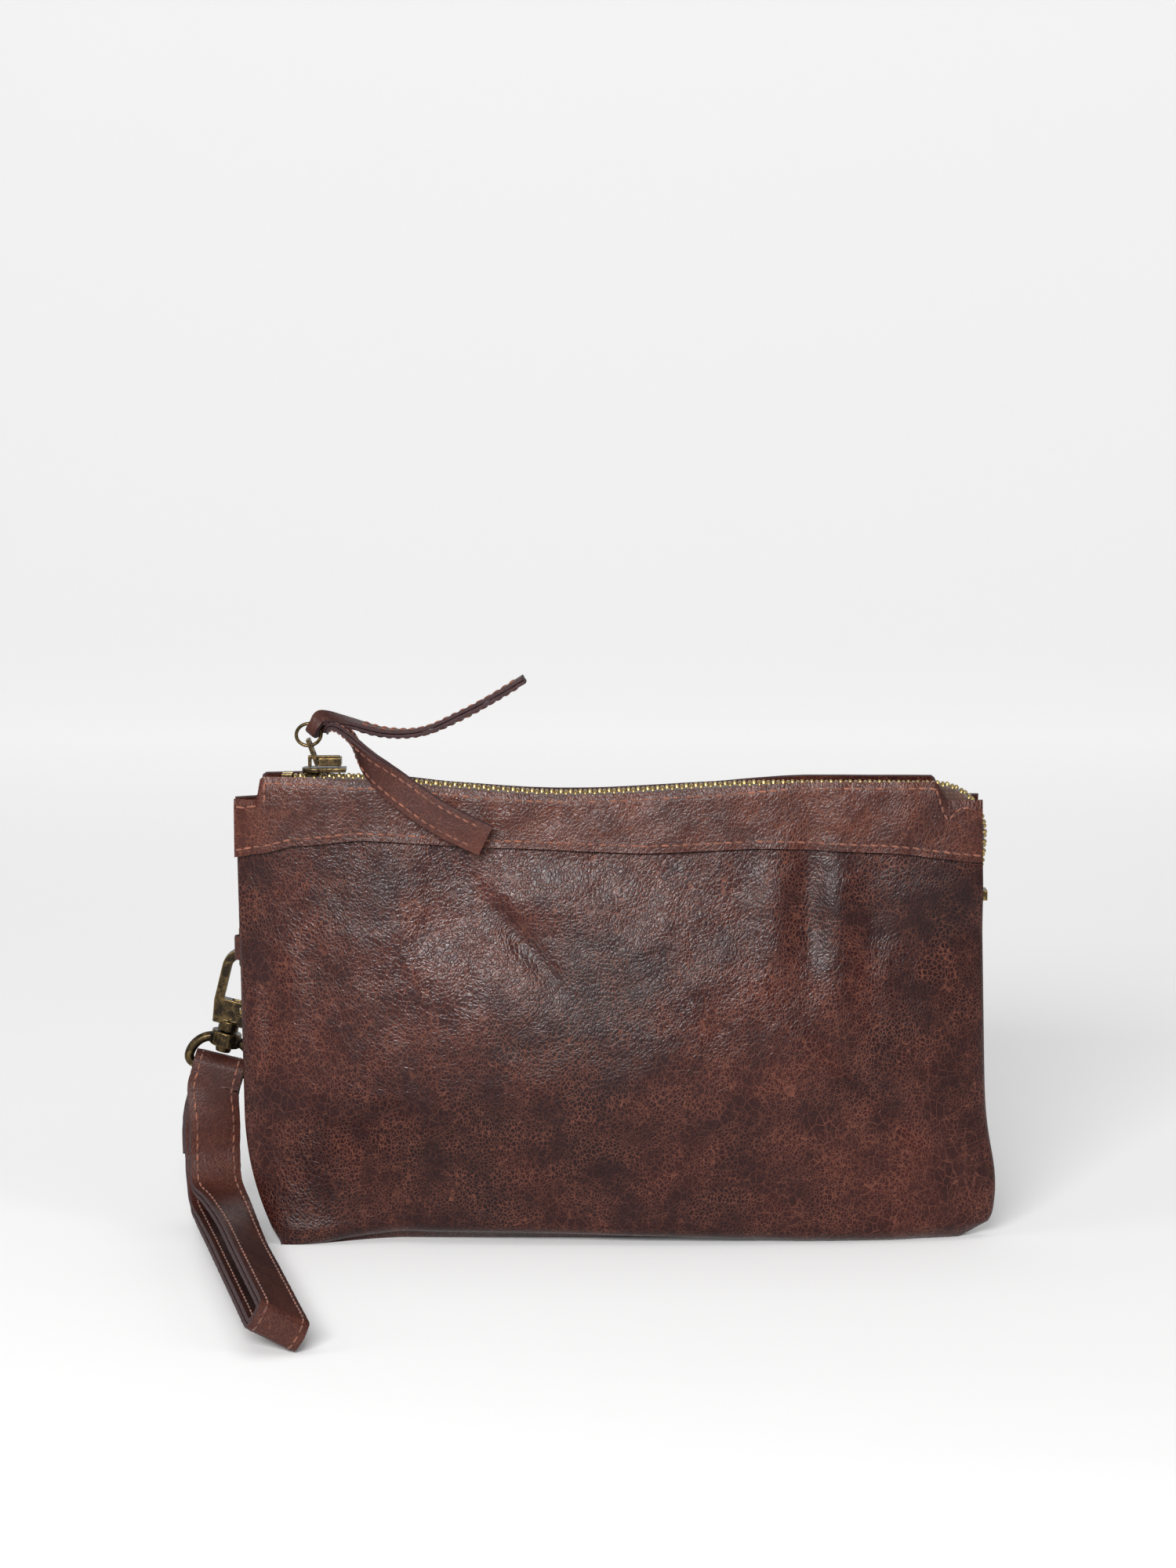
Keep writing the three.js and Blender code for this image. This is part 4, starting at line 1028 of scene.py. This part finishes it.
def strip_solid(name, place, length, low, high, materials, columns, rows=10, seed=0.0):
    """A strip between two offsets along its normal, with rounded, slightly uneven cut edges.
    place(u, v, out) gives a point; the strip's sides are v = -1 and 1."""
    verts, faces, marks = [], [], []
    thick = high - low
    face = [2 * j / rows - 1 for j in range(rows + 1)]
    edge = [(1.0 + 0.02 * math.sin(math.pi * k / 4), k / 4) for k in range(1, 4)]
    ring = [(v, 1.0) for v in face] + [(v, 1.0 - w) for v, w in edge]
    ring += [(-v, 0.0) for v in face] + [(-v, w) for v, w in edge]
    count = len(ring)
    for i in range(columns + 1):
        u = i / columns
        for v, w in ring:
            soft = 1 - 0.16 * max(0.0, abs(v) - 0.8) / 0.2 if abs(v) <= 1 else 1.0
            spread = 1 + 0.018 * noise.noise(Vector((u * length / 3.1, v * 2.0, seed)))
            rough = 0.05 * noise.noise(Vector((u * length / 2.0, v * 3, seed + w * 9)))
            out = lerp(low, high, 0.5 + (w - 0.5) * soft) + rough * thick
            verts.append(place(u, v * spread, out))
    for i in range(columns):
        for k in range(count):
            a, b = i * count + k, i * count + (k + 1) % count
            faces.append((a, b, b + count, a + count))
            on_edge = abs(ring[k][0]) > 0.999 and abs(ring[(k + 1) % count][0]) > 0.999
            marks.append(1 if on_edge else 0)
    faces.append(tuple(range(count)))
    faces.append(tuple(columns * count + k for k in reversed(range(count))))
    marks.extend([1, 1])
    piece = make(name, verts, faces, materials, marks)
    sharp = piece.data
    limit = sharp.attributes.new("sharp_edge", "BOOLEAN", "EDGE")
    limit.data.foreach_set("value", sharp_edges(sharp, marks))
    return piece


def sharp_edges(mesh, marks):
    """True for each edge where a cut edge meets a face of the leather."""
    sides = {}
    for face in mesh.polygons:
        for key in face.edge_keys:
            sides.setdefault(key, set()).add(marks[face.index])
    return [len(sides[edge.key]) > 1 for edge in mesh.edges]


def strip_stitches(name, place, start, stop, v, out, side, length=2.5, steps=160):
    """A stitch line along a strip, near one of its cut edges."""
    points = [place(lerp(start, stop, i / steps), v, out) for i in range(steps + 1)]
    above = [place(lerp(start, stop, i / steps), v, out + side) - points[i] for i in range(steps + 1)]
    return stitch_run(name, points, above, thick=0.6, gap=0.5, lean=0.07, length=length)


# ---------------- zip pull's thong

# Where the CAD's pull ring holds the thong, and how the ring's wire runs there.
FOLD = Vector((-87.17, 3.618, TEETH_HIGH.z + 13.232))
THONG_W, THONG_T = 9.4, 2.3
PINCH = 0.36
WIRE_OUT = Vector((0.669, 0.426, 0.609))
WIRE_ALONG = Vector((-0.743, 0.384, 0.548))
WIRE_SIDE = -WIRE_OUT.cross(WIRE_ALONG)
FOLD_REACH = 0.55 + 0.5 + THONG_T / 2


def near_fold(out, side):
    return WIRE_OUT * out + WIRE_SIDE * side


OVER_BAND = -(float(half_depth(-80.0, 130.0)) + BAND_LIFT) - FOLD.y - THONG_T / 2 - 3.3
FLAT = Vector((0.75, -0.1, 0.64))
THONG_STATIONS = [
    ((50, OVER_BAND - 3.5, -31), FLAT), ((36, OVER_BAND - 2.5, -24), FLAT),
    ((24, OVER_BAND - 1, -15.5), (0.72, -0.2, 0.62), 0.97),
    ((15, OVER_BAND + 2, -8), (0.3, -0.75, 0.5), 0.93),
    ((8, -3, -1), (-0.3, -0.9, 0.2), 0.82),
    (near_fold(2.4, FOLD_REACH), -WIRE_ALONG, PINCH + 0.1),
    (near_fold(-0.4, FOLD_REACH), -WIRE_ALONG, PINCH), (near_fold(-FOLD_REACH, 0), -WIRE_ALONG, PINCH),
    (near_fold(-0.4, -FOLD_REACH), -WIRE_ALONG, PINCH),
    (near_fold(2.4, -FOLD_REACH), -WIRE_ALONG, PINCH + 0.1),
    ((9, 2.5, 0.8), (-0.2, -1, 0), 0.8), ((20, 1.6, -2), (0, -1, 0.05)),
    ((31, 0.8, -1.6), (0.03, -1, 0.12)), ((42, 0.8, 3), (0, -1, 0.16)),
    ((52, 0.8, 8.4), (0, -1, 0.1)), ((61, 0.8, 14), (0, -1, 0.04)),
]


def thong():
    strip = Strip([(FOLD + Vector(s[0]), *s[1:]) for s in THONG_STATIONS], THONG_W)
    half = THONG_T / 2
    runs = []
    for k, (low, high) in enumerate(((-half, -0.04), (0.04, half))):
        runs.append(strip_solid("thong_ply", strip.place, 150, low, high, [STRAP, EDGE], 300, 8, 4.0 + k))
    leather_piece = joined("thong_leather", runs)
    settle(leather_piece, "thong", "strap_leather", "pull_thong")
    lines = []
    for v in (-0.66, 0.66):
        for out, side in ((half, 1), (-half, -1)):
            lines.append(strip_stitches("thong_line", strip.place, 0.015, 0.3, v, out, side, 2.2))
            lines.append(strip_stitches("thong_line", strip.place, 0.69, 0.985, v, out, side, 2.2))
    settle(joined("thong_thread", lines), "thong", "strap_leather", "pull_thong")


thong()

# ---------------- wrist strap

BAR = Vector((-118.501, 10.9, 48.912))       # middle of the swivel eye's bar
TILT = math.radians(14)
STRAP_W = 15.0
LAYER = 1.25
PLY = 2 * LAYER + 0.3
PLY_OFFSET = 1.8 + PLY / 2
TAIL = 26.0
ROLL = 0.5
LAY = STRAP_W / 2 * ROLL + 0.3 + (PLY_OFFSET + PLY / 2) * math.sqrt(1 - ROLL * ROLL)
DROP = BAR.z - LAY
STRAP_LENGTH = 172.0             # eye bar to the end of the loop
RUN = STRAP_LENGTH - DROP - 3


def on_run(share, sink):
    return Vector((0.22 * share * RUN, -7 - 0.97 * share * RUN, -sink))


def below_bar(distance):
    return Vector((-distance * math.sin(TILT), 0, -distance * math.cos(TILT)))


BAR_ALONG = Vector((math.cos(TILT), 0, -math.sin(TILT)))
HANG, LIE = Vector((0.95, 0.3, 0)), Vector((0.84, 0.2, -ROLL))
STRAP_STATIONS = [
    (below_bar(0), BAR_ALONG), (below_bar(3), BAR_ALONG), (below_bar(6), BAR_ALONG),
    (Vector((-2, -0.5, -0.4 * DROP)), HANG), (Vector((-2, -1.5, -0.66 * DROP)), HANG),
    (on_run(0.02, 0.88 * DROP) + Vector((-1.2, 2, 0)), HANG),
    (on_run(0.12, 0.97 * DROP), Vector((0.9, 0.2, -0.3))),
    (on_run(0.32, DROP), LIE), (on_run(0.55, DROP), LIE), (on_run(0.78, DROP), LIE), (on_run(1, DROP), LIE),
]


class Loop:
    """The strap: one stitched strip that runs up its sewn tail, over the eye's bar, down the
    front, round the end and back up behind."""

    def __init__(self):
        self.middle = Strip([(BAR + s[0], s[1]) for s in STRAP_STATIONS], STRAP_W)
        steps = 400
        points = [self.middle.at.point(i / steps) for i in range(steps + 1)]
        self.reach = distances(points)
        self.shares = np.linspace(0, 1, steps + 1)
        self.length = float(self.reach[-1])
        self.route = Smooth(self.way())
        self.route_reach = distances([self.route.point(i / steps) for i in range(steps + 1)])

    def way(self):
        """Places along the strip: mm below the bar, and mm in front of the middle line."""
        end = self.length - PLY_OFFSET
        tail_off = PLY_OFFSET + PLY + 0.3

        def turn(s, first, last):
            angles = [lerp(first, last, k / 4) for k in range(5)]
            return [(s + PLY_OFFSET * math.sin(a), PLY_OFFSET * math.cos(a)) for a in angles]

        tail = [(TAIL, -tail_off), (TAIL * 0.7, -tail_off), (TAIL * 0.42, -tail_off),
                (TAIL * 0.16, -lerp(PLY_OFFSET, tail_off, 0.4))]
        over = [(-abs(s), e) for s, e in turn(0, -math.pi, 0)]
        down = [(k / 10 * end, PLY_OFFSET) for k in range(1, 10)]
        back = [(k / 10 * end, -PLY_OFFSET) for k in range(9, 1, -1)]
        route = [*tail, *over, *down, *turn(end, 0, math.pi), *back, (TAIL * 0.46, -PLY_OFFSET)]
        return [(s, e, 0) for s, e in route]

    def stand(self, s, e, across):
        """s mm below the bar, e mm in front of the middle line and across mm to its side."""
        share = float(np.interp(min(max(s, 0), self.length), self.reach, self.shares))
        at, along, side, front, _ = self.middle.frame(share)
        front = along.cross(side)
        extra = s - min(max(s, 0.0), self.length)
        return at + along * extra + front * e + side * across

    def place(self, u, v, out):
        share = float(np.interp(u * self.route_reach[-1], self.route_reach, self.shares))
        at, along = self.route.point(share), self.route.tangent(share)
        return self.stand(at.x - along.y * out, at.y + along.x * out, v * STRAP_W / 2)


def wrist_strap():
    loop = Loop()
    total = float(loop.route_reach[-1])
    for name, node, low, high, seed in (("strap_outer_layer", "strap_outer", 0.06, PLY / 2, 11.0),
                                        ("strap_inner_layer", "strap_inner", -PLY / 2, -0.06, 12.0)):
        piece = strip_solid(name, loop.place, total, low, high, [STRAP, EDGE], 620, 10, seed)
        settle(piece, "wrist_strap", "strap_leather", node)
    lines = []
    for v in (-0.74, 0.74):
        lines.append(strip_stitches("strap_line", loop.place, 0.004, 0.996, v, PLY / 2, 1, 2.6, 900))
        lines.append(strip_stitches("strap_line", loop.place, 0.004, 0.996, v, -PLY / 2, -1, 2.6, 900))
    cross = [loop.place(22.5 / total, -0.7 + 1.4 * k / 20, PLY / 2) for k in range(21)]
    ahead = [loop.place(22.5 / total, -0.7 + 1.4 * k / 20, PLY / 2 + 1) - cross[k] for k in range(21)]
    lines.append(stitch_run("strap_cross", cross, ahead, thick=0.6, gap=0.5, length=2.4))
    settle(joined("strap_thread", lines), "wrist_strap", "strap_leather", "strap_outer")


wrist_strap()


# ---------------- cast metal

for node_name, melt, rounds in (("slider_body", 0.17, 4), ("slider_bridge", 0.12, 3),
                                ("pull_tab", 0.1, 3), ("hook_body", 0.18, 6), ("hook_gate", 0.13, 4),
                                ("swivel_post", 0.14, 3), ("swivel_eye", 0.2, 5), ("top_stop_front", 0.13, 3),
                                ("top_stop_rear", 0.13, 3), ("bottom_stop", 0.15, 4), ("d_ring", 0.16, 3),
                                ("pull_ring", 0.1, 2)):
    owner = [b for b, names in frame["record"]["behaviour"]["bodies"].items() if node_name in names][0]
    brass = TOOTH if "stop" in node_name else METAL
    cast = softened(node_name + "_cast", node_name, brass, melt, rounds)
    settle(cast, owner, "tooth_brass" if "stop" in node_name else "antique_brass", node_name)


# The D ring's tab: a strip folded round the ring's bar, its ends caught in the side seam.
D_BAR = Vector((-110.372, 5.9, 87.014))      # middle of the ring's straight bar
TAB_W = 7.0


def ring_tab():
    def place(u, v, out):
        angle = math.pi * lerp(0.15, 1.8, u)
        reach = 1.8 + out
        return D_BAR + Vector((reach * math.cos(angle), reach * math.sin(angle), v * TAB_W / 2))

    leather_piece = strip_solid("d_ring_tab_leather", place, 10, -0.45, 0.5, [STRAP, EDGE], 60, 8, 21.0)
    settle(leather_piece, "pouch", "strap_leather", "d_ring_tab")


ring_tab()


CAP_LENGTH, CAP_HALF = 6.6, 2.4


def slider_cap():
    """The thick cap over the slider's plate, to the right of the pull tab."""
    bridge = frame["nodes"]["slider_bridge"]
    corners = [bridge.matrix_world @ Vector(corner) / MM for corner in bridge.bound_box]
    right, top = max(c.x for c in corners) + 0.5, max(c.z for c in corners) - 0.5
    left, low = right - CAP_LENGTH, min(c.z for c in corners) + 0.3
    verts = [(x, y, z) for z in (low, top) for y in (-CAP_HALF, CAP_HALF) for x in (left, right)]
    faces = [(0, 2, 3, 1), (4, 5, 7, 6), (0, 1, 5, 4), (2, 6, 7, 3), (0, 4, 6, 2), (1, 3, 7, 5)]
    cap = make("slider_cap", verts, faces, [METAL])
    melted(cap, 0.16, 8)
    settle(cap, "slider", "antique_brass", "slider_bridge")


slider_cap()


CARRIED = {"panel_leather": PANEL, "band_leather": BAND, "strap_leather": STRAP, "lining": LINING,
           "zip_tape": TAPE, "tooth_brass": TOOTH, "antique_brass": METAL, "spring_steel": STEEL}
for part in frame["record"]["subparts"]:
    node = frame["nodes"][part["node"]]
    node.data.materials.clear()
    node.data.materials.append(CARRIED[part["material_slot"]])
